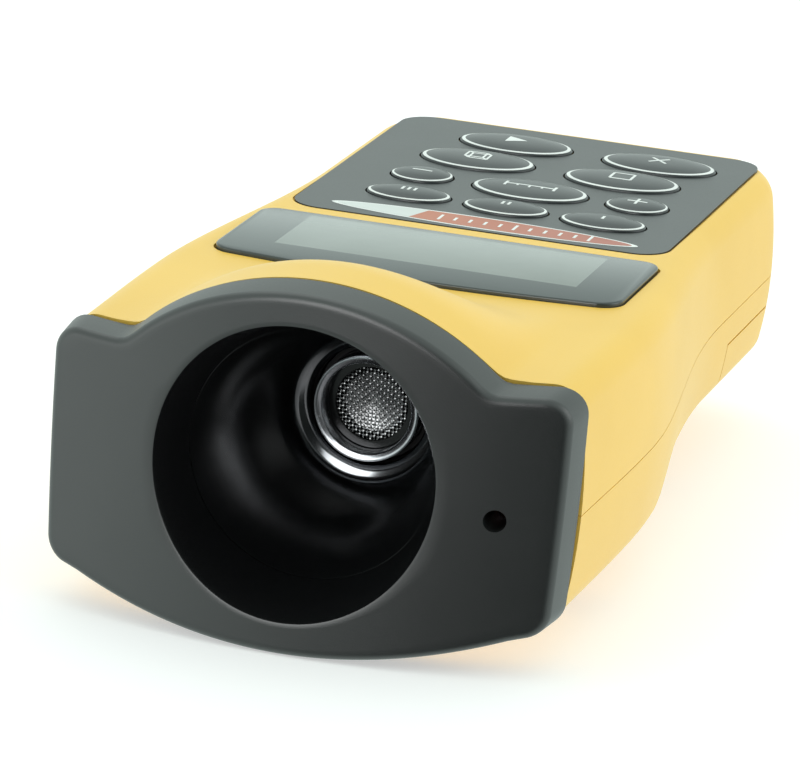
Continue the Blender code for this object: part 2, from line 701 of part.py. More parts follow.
def bezel_outline():
    """(x, up) points round the bezel: round top, flat wings, straight sides and a shallow bottom arc."""
    half = []
    foot = 26.4 * MM
    for i in range(15):
        x = foot * i / 14
        half.append((x, MOUND_CENTRE_UP + math.sqrt(MOUND_R ** 2 - x * x)))
    half.append((foot + 0.9 * MM, BEZEL_WING_UP))
    half.append((31 * MM, BEZEL_WING_UP))
    for i in range(6):
        angle = math.radians(90 - 90 * i / 5)
        half.append((BEZEL_HALF_W - BEZEL_CORNER_R * (1 - math.cos(angle)),
                     BEZEL_WING_UP - BEZEL_CORNER_R * (1 - math.sin(angle))))
    low_half = BEZEL_HALF_W - 0.6 * MM
    corner_x = low_half - BEZEL_CORNER_R
    corner_up = bottom_arc_up(corner_x) + BEZEL_CORNER_R
    for i in range(6):
        angle = math.radians(-70 * i / 5)
        half.append((corner_x + BEZEL_CORNER_R * math.cos(angle),
                     corner_up + BEZEL_CORNER_R * math.sin(angle)))
    for i in range(1, 9):
        x = corner_x * (1 - i / 8)
        half.append((x, bottom_arc_up(x)))
    return half + [(-x, up) for x, up in reversed(half[1:-1])]


def bottom_arc_up(x):
    return BEZEL_BOTTOM_UP + BOTTOM_ARC_R - math.sqrt(BOTTOM_ARC_R ** 2 - x * x)


# ---------------------------------------------------------------- horn and transducer

def wall_radius(back):
    """Radius of the horn's bore, a straight cone from the mouth to the throat."""
    return MOUTH_R + (THROAT_R - MOUTH_R) * back / THROAT_BACK


def make_horn():
    """Moulded cone with a front flange, a throat ledge and a socket for the transducer."""
    start, throat, end = HORN_START, THROAT_BACK, HORN_END
    socket_r = CAN_R + SOCKET_FIT
    outside = [(FLANGE_R, start), (FLANGE_R, start + 1.5 * MM),
               (wall_radius(start + 1.5 * MM) + HORN_WALL, start + 1.5 * MM),
               (THROAT_R + HORN_WALL, throat), (socket_r + HORN_WALL, throat + 2.5 * MM),
               (socket_r + HORN_WALL, end)]
    inside = [(CAN_R - 1.5 * MM, end), (CAN_R - 1.5 * MM, end - 1.0 * MM), (socket_r, end - 1.0 * MM),
              (socket_r, throat + 1.6 * MM), (THROAT_R, throat), (wall_radius(start), start)]
    turned("sound_horn", [(r, -b) for r, b in outside + inside], (0, 0, 0), BLACK_GLOSS, 40)


def make_transducer():
    """Drawn can with a sunk front plate, a mesh, a piezo bender with its cone, a potted base and a grommet."""
    front, back = CAN_START, CAN_END
    plate, inner_r, lip = front + CAN_PLATE_SUNK, CAN_R - CAN_WALL, 0.35 * MM
    can = [(CAN_R - lip, front), (CAN_R, front + lip), (CAN_R, back), (inner_r, back),
           (inner_r, plate + CAN_PLATE_THICK), (CAN_WINDOW_R, plate + CAN_PLATE_THICK),
           (CAN_WINDOW_R, plate), (CAN_MOUTH_R, plate), (CAN_MOUTH_R, front + lip)]
    turned("transducer_can", [(r, -b) for r, b in can], (0, 0, 0), ALUMINIUM, 32)
    fill_r, mesh = inner_r - 0.15 * MM, plate + CAN_PLATE_THICK + 0.2 * MM
    rod("transducer_mesh", fill_r, (0, mesh, 0), (0, mesh + MESH_THICK, 0), STEEL, 32)
    tip = mesh + MESH_THICK + 0.4 * MM
    cone = [(0, tip + 0.9 * MM), (0.9 * MM, tip + 0.9 * MM), (4.4 * MM, tip), (4.6 * MM, tip + 0.3 * MM),
            (1.4 * MM, tip + 2.0 * MM), (0, tip + 2.0 * MM)]
    turned("resonator_cone", [(r, -b) for r, b in cone], (0, 0, 0), ALUMINIUM, 20)
    disc = tip + 2.15 * MM
    rod("piezo_disc", DISC_R, (0, disc, 0), (0, disc + 0.8 * MM, 0), CERAMIC, 32)
    base = rod("transducer_base", fill_r, (0, back - 3.2 * MM, 0), (0, back - 0.1 * MM, 0), BLACK_EPOXY, 32)
    pins = [rod(f"pin_{side}", PIN_R, (side * PIN_APART, back - 1.5 * MM, 0),
                (side * PIN_APART, back + 5.0 * MM, 0), sides=10) for side in (-1, 1)]
    join(base, *pins)
    near, far = front + GROMMET_START, back + 0.3 * MM
    inner, outer = CAN_R + PILOT_FIT, CAN_R + SOCKET_FIT - PILOT_FIT
    ring = [(outer, near), (outer, far), (inner, far), (inner, near)]
    turned("transducer_grommet", [(r, -b) for r, b in ring], (0, 0, 0), RUBBER, 24)


# ---------------------------------------------------------------- laser pointer

def make_laser():
    x, up = LASER_X, LASER_UP
    start, end = BARREL_START, BARREL_END
    barrel = [(BARREL_R, start), (BARREL_R, end), (2.45 * MM, end), (2.45 * MM, start + 3.2 * MM),
              (1.9 * MM, start + 3.2 * MM), (1.9 * MM, start + 2.6 * MM), (2.45 * MM, start + 2.6 * MM),
              (2.45 * MM, start)]
    turned("laser_barrel", [(r, -b) for r, b in barrel], (x, 0, up), BRASS, 20)
    rod("laser_lens", 2.3 * MM, (x, start + 0.8 * MM, up), (x, start + 2.4 * MM, up), GLASS, 24)
    diode = rod("laser_diode", 2.3 * MM, (x, start + 9 * MM, up), (x, start + 11.5 * MM, up), STEEL, 24)
    cap = rod("diode_cap", 1.5 * MM, (x, start + 7 * MM, up), (x, start + 10 * MM, up), sides=20)
    leads = [rod(f"diode_pin_{side}", 0.25 * MM, (x + side * 0.9 * MM, start + 11 * MM, up + 0.9 * MM),
                 (x + side * 0.9 * MM, end + 2.5 * MM, up + 0.9 * MM), sides=8) for side in (-1, 1)]
    join(diode, cap, *leads)
    box("laser_driver_board", (x - 2.3 * MM, end + 0.6 * MM, up - 0.8 * MM),
        (x + 2.3 * MM, end + 11 * MM, up + 0.4 * MM), GREEN_BOARD)


# ---------------------------------------------------------------- display

def plate_outline(grow):
    """(x, back) points of the display plate: round corners and a front edge bowed to the mound."""
    points = []
    half_w = PLATE_HALF_W + grow
    radius = PLATE_FAR_CORNER_R
    back = PLATE_FAR + grow
    for x, start in ((half_w, 0), (-half_w, 90)):
        for i in range(6):
            angle = math.radians(start + 18 * i)
            points.append((x - math.copysign(radius, x) + radius * math.cos(angle),
                           back - radius + radius * math.sin(angle)))
    radius = PLATE_NEAR_CORNER_R
    edge = half_w - radius
    near = PLATE_NEAR - grow
    corner_back = near + edge ** 2 / (2 * PLATE_NEAR_BOW_R) + radius
    for i in range(6):
        angle = math.radians(180 + 80 * i / 5)
        points.append((-edge + radius * math.cos(angle), corner_back + radius * math.sin(angle)))
    for i in range(1, 12):
        x = -edge + 2 * edge * i / 12
        points.append((x, near + x * x / (2 * PLATE_NEAR_BOW_R)))
    for i in range(6):
        angle = math.radians(280 + 80 * i / 5)
        points.append((edge + radius * math.cos(angle), corner_back + radius * math.sin(angle)))
    return points


def make_display():
    slab("display_plate", plate_outline(0.0), PLATE_TOP - PLATE_THICK, PLATE_TOP, GREY_PLATE)
    box("lcd_cell", (-LCD_HALF_W, LCD_NEAR, LCD_LOW), (LCD_HALF_W, LCD_FAR, LCD_TOP), LCD_GLASS)
    base = BOARD_LOW + BOARD_THICK + FIT
    rim = 2 * MM
    holder = box("lcd_holder", (-LCD_HALF_W - rim, LCD_NEAR - rim, base),
                 (LCD_HALF_W + rim, LCD_FAR + rim, LCD_TOP), WHITE_PLASTIC)
    cut(holder, box("holder_hollow", (-LCD_HALF_W - GAP, LCD_NEAR - GAP, 0),
                    (LCD_HALF_W + GAP, LCD_FAR + GAP, 20 * MM)))
    box("elastomer_strip", (-22 * MM, 61 * MM, base), (22 * MM, 63 * MM, LCD_LOW - FIT), RUBBER)


# ---------------------------------------------------------------- keypad

def make_film():
    film = slab("keypad_film", rounded_rectangle(FILM_HALF_W, FILM_NEAR, FILM_FAR, FILM_CORNER_R),
                FILM_TOP - FILM_THICK, FILM_TOP, GREY_FILM)
    holes = []
    for name, numbers in KEYS.items():
        x, back, half_w, half_l = (n * MM for n in numbers)
        outline = key_outline(x, back, half_w, half_l, FIT / 2)
        holes.append(slab(name + "_window", outline, 10 * MM, 20 * MM))
    cut(film, *holes)


def make_key(name, x, back, half_w, half_l):
    """Domed oval key with a flange under the case and a foot over its snap dome."""
    edge = half_w - 0.2 * MM
    rise = KEY_TOP - KEY_EDGE
    profile = [(0.0, KEY_TOP)]
    for share in (0.45, 0.8):
        profile.append((edge * share, KEY_TOP - rise * share ** 3))
    profile += [(edge, KEY_EDGE - 0.1 * MM), (edge, KEY_FLANGE_TOP), (edge + 0.7 * MM, KEY_FLANGE_TOP),
                (edge + 0.7 * MM, KEY_FLANGE_LOW), (KEY_FOOT_R, KEY_FLANGE_LOW), (KEY_FOOT_R, KEY_FOOT),
                (0.0, KEY_FOOT)]
    turned(name, profile, (x, back, 0), GREY_FILM, 20, along_y=False, stretch=half_l / half_w)


def make_snap_dome(name, x, back):
    base = BOARD_LOW + BOARD_THICK + 0.05 * MM
    profile = [(0.0, base + DOME_H), (DOME_R * 0.6, base + DOME_H * 0.75), (DOME_R, base + 0.12 * MM),
               (DOME_R, base), (0.0, base)]
    turned(name, profile, (x, back, 0), STEEL, 12, along_y=False)


def make_keypad():
    make_film()
    for name, numbers in KEYS.items():
        x, back, half_w, half_l = (n * MM for n in numbers)
        make_key(name, x, back, half_w, half_l)
        make_snap_dome(name.replace("key_", "snap_dome_"), x, back)


# ---------------------------------------------------------------- electronics and power

def make_board():
    board = slab("main_board", rounded_rectangle(BOARD_HALF_W, BOARD_NEAR, BOARD_FAR, 2 * MM, 2),
                 BOARD_LOW, BOARD_LOW + BOARD_THICK, GREEN_BOARD)
    holes = [rod(f"board_hole_{number}", POST_SCREW_R + GAP, (x, back, 5 * MM), (x, back, 10 * MM),
                 sides=10) for number, (x, back) in enumerate(BOARD_SCREWS)]
    cut(board, *holes)
    under = BOARD_LOW - FIT
    box("processor_chip", (-6 * MM, 86 * MM, under - 1.6 * MM), (6 * MM, 98 * MM, under), BLACK_EPOXY)
    box("receiver_chip", (-5 * MM, 66 * MM, under - 1.7 * MM), (4 * MM, 70 * MM, under), BLACK_EPOXY)
    box("clock_crystal", (10 * MM, 88 * MM, under - 3.4 * MM), (14.5 * MM, 98.5 * MM, under), STEEL)
    rod("supply_capacitor", 3.1 * MM, (-15 * MM, 84 * MM, under - 3.2 * MM),
        (-15 * MM, 95 * MM, under - 3.2 * MM), BLUE_SLEEVE, 20)
    box("drive_transformer", (-16 * MM, 61 * MM, under - 7.5 * MM), (-8 * MM, 69 * MM, under), BLACK_EPOXY)
    rod("beeper", 5.5 * MM, (14 * MM, 70 * MM, under - 4.6 * MM), (14 * MM, 70 * MM, under), BLACK_EPOXY, 28)


def make_battery():
    half = BATTERY / 2
    x, back, low = BATTERY_X, BATTERY_BACK, BATTERY_LOW
    battery = box("battery", (x - half.x, back - half.y, low), (x + half.x, back + half.y, low + BATTERY.z),
                  BATTERY_SKIN)
    bevel = battery.modifiers.new("edges", 'BEVEL')
    bevel.width = 1.2 * MM
    bevel.segments = 2
    bake(battery)
    face = x - half.x
    middle = low + half.z
    studs = [rod(f"stud_{number}", radius, (face + 0.5 * MM, back + side * STUD_APART, middle),
                 (face - 2.0 * MM, back + side * STUD_APART, middle), sides=16)
             for number, (side, radius) in enumerate(((-1, 2.8 * MM), (1, 3.6 * MM)))]
    join(battery, *studs)
    snap = box("battery_snap", (face - 4.6 * MM, back - 12 * MM, middle - 6 * MM),
               (face - 0.4 * MM, back + 12 * MM, middle + 6 * MM), RUBBER)
    sockets = [rod(f"socket_{side}", 4.0 * MM, (face, back + side * STUD_APART, middle),
                   (face - 2.4 * MM, back + side * STUD_APART, middle), sides=16) for side in (-1, 1)]
    cut(snap, *sockets)
    box("battery_pad", (-12 * MM, back - 9 * MM, GRIP_BOTTOM + WALL + 0.4 * MM),
        (12 * MM, back + 9 * MM, low - 0.1 * MM), FOAM)


def make_leads():
    edge = BATTERY_X - BATTERY.x / 2 - 2.5 * MM
    start = BATTERY_BACK - 12.2 * MM
    rise = BOARD_LOW - 0.5 * MM
    wire("battery_lead_red", [(edge, start, -2 * MM), (edge - 3.5 * MM, start - 5 * MM, -1 * MM),
                              (-28.6 * MM, 114 * MM, 0), (-25.5 * MM, 108.6 * MM, 1.5 * MM),
                              (-20 * MM, 107 * MM, 3 * MM), (-18 * MM, 107 * MM, rise)], 0.6 * MM, RED_WIRE)
    wire("battery_lead_black", [(edge, start, -7 * MM), (edge - 3.5 * MM, start - 5 * MM, -6 * MM),
                                (-28.6 * MM, 114 * MM, -5 * MM), (-24 * MM, 110.5 * MM, -4 * MM),
                                (-16 * MM, 111.5 * MM, -1 * MM), (-13 * MM, 111.5 * MM, rise)],
         0.6 * MM, BLACK_WIRE)
    pins = CAN_END + 5.3 * MM
    wire("transducer_lead", [(PIN_APART, pins, 0), (PIN_APART, pins + 3 * MM, 0),
                             (1 * MM, pins + 7 * MM, 2.5 * MM), (0, pins + 9 * MM, rise)],
         0.8 * MM, GREY_WIRE)
    board_end = BARREL_END + 11.3 * MM
    wire("laser_lead", [(27.3 * MM, board_end, LASER_UP), (26.4 * MM, board_end + 4 * MM, LASER_UP),
                        (25.5 * MM, board_end + 9 * MM, LASER_UP), (23.5 * MM, 56 * MM, -1 * MM),
                        (20 * MM, 61 * MM, 3 * MM), (19 * MM, 62 * MM, rise)], 0.7 * MM, RED_WIRE)


# ---------------------------------------------------------------- fasteners

def make_screw(name, x, back, head_up, tip_up, shank_r, head_r, head_h, slot):
    """Cross-head screw, driven upwards: the head is at the bottom."""
    screw = rod(name, shank_r, (x, back, head_up - 0.2 * MM), (x, back, tip_up), STEEL, 12)
    head = rod(name + "_head", head_r, (x, back, head_up - head_h), (x, back, head_up), sides=20)
    join(screw, head)
    low = head_up - head_h - 1 * MM
    high = head_up - head_h * 0.45
    thin = slot * 0.25
    cut(screw, box(name + "_slot_a", (x - slot, back - thin, low), (x + slot, back + thin, high)),
        box(name + "_slot_b", (x - thin, back - slot, low), (x + thin, back + slot, high)))


def make_screws():
    for number, (x, back) in enumerate(CASE_SCREWS, 1):
        make_screw(f"case_screw_{number}", x, back, screw_seat_up(back) - FIT, SCREW_TIP, SCREW_R,
                   SCREW_HEAD_R, SCREW_HEAD_H, SCREW_SLOT)
    for number, (x, back) in enumerate(BOARD_SCREWS, 1):
        make_screw(f"board_screw_{number}", x, back, BOARD_LOW - FIT, POST_SCREW_TIP, POST_SCREW_R,
                   POST_HEAD_R, POST_HEAD_H, POST_SLOT)


shell_body = make_shell()
make_upper_case(shell_body)
make_lower_case(shell_body)
make_battery_door(shell_body)
make_bezel()
make_horn()
make_transducer()
make_laser()
make_display()
make_keypad()
make_board()
make_battery()
make_leads()
make_screws()
bpy.data.objects.remove(shell_body, do_unlink=True)
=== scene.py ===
import json
import math

import bpy
from mathutils import Matrix, Vector


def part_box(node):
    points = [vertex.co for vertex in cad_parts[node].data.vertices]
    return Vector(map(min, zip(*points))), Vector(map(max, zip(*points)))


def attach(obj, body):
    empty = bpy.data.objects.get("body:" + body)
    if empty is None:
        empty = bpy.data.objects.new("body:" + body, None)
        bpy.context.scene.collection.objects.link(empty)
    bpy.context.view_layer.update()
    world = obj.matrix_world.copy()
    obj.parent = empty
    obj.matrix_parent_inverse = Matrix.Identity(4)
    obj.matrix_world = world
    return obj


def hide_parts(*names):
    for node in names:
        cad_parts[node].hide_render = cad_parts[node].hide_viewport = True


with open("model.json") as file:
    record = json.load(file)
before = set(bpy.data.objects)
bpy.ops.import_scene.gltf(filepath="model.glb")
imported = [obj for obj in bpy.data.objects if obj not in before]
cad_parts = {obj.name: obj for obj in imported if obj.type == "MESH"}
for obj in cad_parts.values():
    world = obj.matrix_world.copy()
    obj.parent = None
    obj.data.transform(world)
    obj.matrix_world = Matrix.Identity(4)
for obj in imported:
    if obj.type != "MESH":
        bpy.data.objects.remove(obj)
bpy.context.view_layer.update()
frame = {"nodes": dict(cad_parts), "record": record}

# -------------------- the set
# A plain white floor under the meter, a soft tent of light with one dim side in front, three large
# soft lamps, one lamp for the glints only, and a long lens looking down on the head from its right.
MM = 0.001
FLOOR_SIZE = 8.0
FLOOR_WHITE = (0.62, 0.615, 0.61, 1.0)
CAMERA_PLACE = (0.2282, -0.8115, 0.2697)
CAMERA_TURN = math.radians(16.167)
CAMERA_DIP = math.radians(16.600)
CAMERA_ROLL = math.radians(4.029)
CAMERA_LENS = 258.88
DIM_TOWARDS = (0.40, -0.90, -0.10)
DIM_START = 0.45
DIM_FULL = 0.93
TENT_BRIGHT = 1.12
TENT_TINT = (0.87, 1.0, 0.955, 1.0)
TENT_DIM = 0.03
FLOOR_GLOW = 0.46
LAMPS = [("overhead_lamp", (-0.25, 0.30, 0.95), 0.9, 1.3), ("left_lamp", (-0.95, -0.70, 0.10), 0.8, 1.2),
         ("right_lamp", (0.95, 0.15, 0.40), 0.7, 1.6), ("glint_lamp", (-0.10, -1.02, 0.38), 0.8, 6.0)]

bpy.ops.object.select_all(action='DESELECT')
bpy.ops.mesh.primitive_plane_add(size=FLOOR_SIZE, location=(0.0, 0.0, -0.0001))
floor = bpy.context.object
floor.name = "floor"
floor.visible_glossy = False
floor_finish = bpy.data.materials.new("white_floor")
floor_finish.use_nodes = True
floor_shader = floor_finish.node_tree.nodes["Principled BSDF"]
floor_shader.inputs["Base Color"].default_value = FLOOR_WHITE
floor_shader.inputs["Roughness"].default_value = 0.9
floor_shader.inputs["Emission Color"].default_value = (1.0, 1.0, 1.0, 1.0)
floor_shader.inputs["Emission Strength"].default_value = FLOOR_GLOW
floor.data.materials.append(floor_finish)

ahead = Vector((-math.sin(CAMERA_TURN) * math.cos(CAMERA_DIP), math.cos(CAMERA_TURN) * math.cos(CAMERA_DIP),
                -math.sin(CAMERA_DIP)))
level_right = Vector((math.cos(CAMERA_TURN), math.sin(CAMERA_TURN), 0.0))
level_up = level_right.cross(ahead)
camera_right = level_right * math.cos(CAMERA_ROLL) + level_up * math.sin(CAMERA_ROLL)
camera_up = level_up * math.cos(CAMERA_ROLL) - level_right * math.sin(CAMERA_ROLL)
bpy.ops.object.camera_add()
camera = bpy.context.object
camera.name = "camera"
camera.matrix_world = (Matrix.Translation(CAMERA_PLACE)
                       @ Matrix((camera_right, camera_up, -ahead)).transposed().to_4x4())
camera.data.lens = CAMERA_LENS
camera.data.sensor_width = 36.0
camera.data.clip_start = 0.05
camera.data.clip_end = 50.0
bpy.context.scene.camera = camera
bpy.context.scene.view_settings.view_transform = 'Standard'

for lamp_name, lamp_place, lamp_size, lamp_power in LAMPS:
    bpy.ops.object.light_add(type='AREA', location=lamp_place)
    lamp = bpy.context.object
    lamp.name = lamp_name
    lamp.data.shape = 'DISK'
    lamp.data.size = lamp_size
    lamp.data.energy = lamp_power
    lamp.rotation_euler = (-Vector(lamp_place)).to_track_quat('-Z', 'Y').to_euler()
    lamp.visible_diffuse = lamp_name != "glint_lamp"


def add_ramp(tree, value, low, high, start=0.0, end=1.0):
    """A socket that goes from start to end while a value goes from low to high."""
    ramp = tree.nodes.new('ShaderNodeMapRange')
    for socket, number in (("From Min", low), ("From Max", high), ("To Min", start), ("To Max", end)):
        ramp.inputs[socket].default_value = number
    tree.links.new(value, ramp.inputs["Value"])
    return ramp.outputs["Result"]


tent = bpy.data.worlds.new("light_tent")
bpy.context.scene.world = tent
tent.use_nodes = True
tent_tree = tent.node_tree
tent_tree.nodes.clear()
tent_direction = tent_tree.nodes.new('ShaderNodeTexCoord')
tent_facing = tent_tree.nodes.new('ShaderNodeVectorMath')
tent_facing.operation = 'DOT_PRODUCT'
tent_facing.inputs[1].default_value = DIM_TOWARDS
tent_strength = add_ramp(tent_tree, tent_facing.outputs["Value"], DIM_START, DIM_FULL, TENT_BRIGHT, TENT_DIM)
tent_strength.node.interpolation_type = 'SMOOTHSTEP'
tent_glow = tent_tree.nodes.new('ShaderNodeBackground')
tent_glow.inputs["Color"].default_value = TENT_TINT
tent_white = tent_tree.nodes.new('ShaderNodeBackground')
tent_white.inputs["Color"].default_value = (1.0, 1.0, 1.0, 1.0)
tent_path = tent_tree.nodes.new('ShaderNodeLightPath')
tent_mix = tent_tree.nodes.new('ShaderNodeMixShader')
tent_out = tent_tree.nodes.new('ShaderNodeOutputWorld')
tent_tree.links.new(tent_direction.outputs["Generated"], tent_facing.inputs[0])
tent_tree.links.new(tent_strength, tent_glow.inputs["Strength"])
tent_tree.links.new(tent_path.outputs["Is Camera Ray"], tent_mix.inputs["Fac"])
tent_tree.links.new(tent_glow.outputs["Background"], tent_mix.inputs[1])
tent_tree.links.new(tent_white.outputs["Background"], tent_mix.inputs[2])
tent_tree.links.new(tent_mix.outputs["Shader"], tent_out.inputs["Surface"])

# -------------------- front bezel
# One moulding in black satin ABS: a bowed, slightly leaning face with a round top, a soft rounded
# edge, a cone-shaped mouth in the middle and a small hole for the pointer. It clips to the case.
horn_low, horn_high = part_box("sound_horn")
AXIS_Z = (horn_low.z + horn_high.z) / 2
FRONT_Y = horn_low.y - 10.8 * MM
MOUTH_R = 21.4 * MM
THROAT_R = 11.3 * MM
THROAT_BACK = 36.0 * MM
FACE_BOW_R = 110.6 * MM
FACE_LEAN = math.tan(math.radians(2.35))
BEZEL_THICK = 7.0 * MM
BEZEL_HALF_W = 38.3 * MM
SIDE_DRAFT = 0.0026 / MM
SIDE_DRAFT_BACK = 6.8 * MM
TOP_DRAFT = 0.0033 / MM
TOP_DRAFT_BACK = 7.6 * MM
WING_UP = 14.6 * MM
WING_STOPS = (31.2 * MM, 32.8 * MM)
SHOULDER = [(0.25, 15.25), (0.9, 14.85), (1.9, 14.63), (3.2, 14.6)]
SIDE_NARROWING = 0.6 * MM
BEZEL_CORNER_R = 4.0 * MM
MOUND_R = 37.3 * MM
MOUND_CENTRE_UP = -11.0 * MM
MOUND_FOOT = 26.4 * MM
DOME_END = MOUND_FOOT - 0.6 * MM
BEZEL_BOTTOM_UP = -26.5 * MM
BOTTOM_ARC_R = 96.0 * MM
COLLAR_R = 23.7 * MM
COLLAR_BACK = 10.5 * MM
FACE_EDGE_R = 1.15 * MM
BACK_EDGE_R = 0.25 * MM
MOUTH_EDGE_R = 0.45 * MM
POINTER_HOLE_R = 1.6 * MM
DOME_STEPS, FLANK_STEPS, BELLY_STEPS = 33, 20, 27


def at(x, back, up):
    """Place of a point from its side, its distance behind the mouth and its height over the axis."""
    return Vector((x, FRONT_Y + back, AXIS_Z + up))


def face_back(x, up):
    """How far the bezel's face lies behind the middle of the mouth."""
    return FACE_BOW_R - math.sqrt(FACE_BOW_R ** 2 - x * x) + up * FACE_LEAN


def wall_radius(back):
    """Radius of the horn's bore, a straight cone from mouth to throat."""
    return MOUTH_R + (THROAT_R - MOUTH_R) * back / THROAT_BACK


def bottom_arc_up(x):
    return BEZEL_BOTTOM_UP + BOTTOM_ARC_R - math.sqrt(BOTTOM_ARC_R ** 2 - x * x)


def fillet(centre_x, centre_up, radius, start, end, steps):
    """Points along an arc, angles in degrees."""
    points = []
    for step in range(steps + 1):
        angle = math.radians(start + (end - start) * step / steps)
        points.append((centre_x + radius * math.cos(angle), centre_up + radius * math.sin(angle)))
    return points


def bezel_outline():
    """Right half of the outline, from the top middle to the bottom middle."""
    half = []
    for step in range(DOME_STEPS + 1):
        x = DOME_END * step / DOME_STEPS
        half.append((x, MOUND_CENTRE_UP + math.sqrt(MOUND_R ** 2 - x * x)))
    half += [(MOUND_FOOT + out * MM, up * MM) for out, up in SHOULDER]
    half += [(x, WING_UP) for x in WING_STOPS]
    side_top = WING_UP - BEZEL_CORNER_R
    half += fillet(BEZEL_HALF_W - BEZEL_CORNER_R, side_top, BEZEL_CORNER_R, 90, 0, 9)
    corner_x = BEZEL_HALF_W - SIDE_NARROWING - BEZEL_CORNER_R
    corner_up = bottom_arc_up(corner_x) + BEZEL_CORNER_R
    for step in range(1, FLANK_STEPS):
        share = step / FLANK_STEPS
        half.append((BEZEL_HALF_W - SIDE_NARROWING * share * share, side_top + (corner_up - side_top) * share))
    half += fillet(corner_x, corner_up, BEZEL_CORNER_R, 0, -70, 9)
    for step in range(1, BELLY_STEPS):
        x = corner_x * (1 - step / BELLY_STEPS)
        half.append((x, bottom_arc_up(x)))
    half.append((0.0, bottom_arc_up(0.0)))
    return half


def ring_body(name, rows, columns, place):
    """A torus whose every row and column is put where place(row, column) says: a closed ring body."""
    bpy.ops.object.select_all(action='DESELECT')
    bpy.ops.mesh.primitive_torus_add(major_segments=columns, minor_segments=rows, generate_uvs=False)
    ring = bpy.context.object
    ring.name = name
    for number, vertex in enumerate(ring.data.vertices):
        vertex.co = place(number % rows, number // rows)
    face_outwards(ring)
    return ring


def pick(*pieces):
    """Selects some pieces and makes the last one active."""
    bpy.ops.object.select_all(action='DESELECT')
    for piece in pieces:
        piece.select_set(True)
    bpy.context.view_layer.objects.active = pieces[-1]


def face_outwards(piece):
    """Merges doubled points and turns every face outwards."""
    pick(piece)
    bpy.ops.object.mode_set(mode='EDIT')
    bpy.ops.mesh.select_all(action='SELECT')
    bpy.ops.mesh.remove_doubles(threshold=0.000002)
    bpy.ops.mesh.normals_make_consistent(inside=False)
    bpy.ops.object.mode_set(mode='OBJECT')


def soft_shade(piece, degrees):
    """Smooth shading that keeps corners sharper than an angle."""
    pick(piece)
    bpy.ops.object.shade_smooth_by_angle(angle=math.radians(degrees))


def apply_modifier(piece, kind, **settings):
    """Adds one modifier, sets it and applies it."""
    pick(piece)
    modifier = piece.modifiers.new(kind.lower(), kind)
    for key, value in settings.items():
        setattr(modifier, key, value)
    bpy.ops.object.modifier_apply(modifier=modifier.name)


def carve(piece, cutters, operation='DIFFERENCE'):
    """Cuts, joins or intersects a piece with other bodies, which are used up."""
    for cutter in cutters:
        apply_modifier(piece, 'BOOLEAN', operation=operation, solver='EXACT', object=cutter)
        bpy.data.objects.remove(cutter, do_unlink=True)


def peg(radius, start, end, sides=48):
    """A plain round cutter or boss between two places."""
    low, high = at(*start), at(*end)
    bpy.ops.object.select_all(action='DESELECT')
    bpy.ops.mesh.primitive_cylinder_add(vertices=sides, radius=radius, depth=(high - low).length,
                                        location=(low + high) / 2,
                                        rotation=(high - low).to_track_quat('Z', 'Y').to_euler())
    return bpy.context.object


def new_finish(name, colour, roughness, metallic=0.0, shine=0.5):
    """A material, and its nodes' tree, shader and Object coordinates ready for patterns."""
    finish = bpy.data.materials.new(name)
    finish.use_nodes = True
    tree = finish.node_tree
    shader = tree.nodes["Principled BSDF"]
    shader.inputs["Base Color"].default_value = (*colour, 1.0)
    shader.inputs["Roughness"].default_value = roughness
    shader.inputs["Metallic"].default_value = metallic
    shader.inputs["Specular IOR Level"].default_value = shine
    return finish, (tree, shader, tree.nodes.new('ShaderNodeTexCoord').outputs["Object"])


def add_grain(nodes, scale, height, roughness, spread):
    """Fine moulded texture: a noise that lifts the surface and varies its roughness."""
    tree, shader, place = nodes
    grain = tree.nodes.new('ShaderNodeTexNoise')
    grain.inputs["Scale"].default_value = scale
    grain.inputs["Detail"].default_value = 3.0
    bump = tree.nodes.new('ShaderNodeBump')
    bump.inputs["Distance"].default_value = height
    bump.inputs["Strength"].default_value = 1.0
    tree.links.new(place, grain.inputs["Vector"])
    tree.links.new(grain.outputs["Fac"], bump.inputs["Height"])
    tree.links.new(bump.outputs["Normal"], shader.inputs["Normal"])
    sheen = add_ramp(tree, grain.outputs["Fac"], 0.0, 1.0, roughness - spread, roughness + spread)
    tree.links.new(sheen, shader.inputs["Roughness"])


def add_clouds(nodes, scale, dark, light):
    """Slow, faint change of colour over the piece, between two shades."""
    tree, shader, place = nodes
    clouds = tree.nodes.new('ShaderNodeTexNoise')
    clouds.inputs["Scale"].default_value = scale
    clouds.inputs["Detail"].default_value = 4.0
    shades = tree.nodes.new('ShaderNodeValToRGB')
    shades.color_ramp.elements[0].position = 0.3
    shades.color_ramp.elements[0].color = (*dark, 1.0)
    shades.color_ramp.elements[1].position = 0.7
    shades.color_ramp.elements[1].color = (*light, 1.0)
    tree.links.new(place, clouds.inputs["Vector"])
    tree.links.new(clouds.outputs["Fac"], shades.inputs["Fac"])
    tree.links.new(shades.outputs["Color"], shader.inputs["Base Color"])
    return shades.outputs["Color"]


half_outline = bezel_outline()
outline = half_outline + [(-x, up) for x, up in reversed(half_outline[1:-1])]
inward = []
for number in range(len(outline)):
    along = (Vector(outline[(number + 1) % len(outline)]) - Vector(outline[number - 1])).normalized()
    inward.append(Vector((along.y, -along.x)))

EDGE_STEPS = 6
FACE_ROWS = 9
MOUTH_ROWS = 4
BEZEL_ROWS = MOUTH_ROWS + 1 + FACE_ROWS + EDGE_STEPS + 6


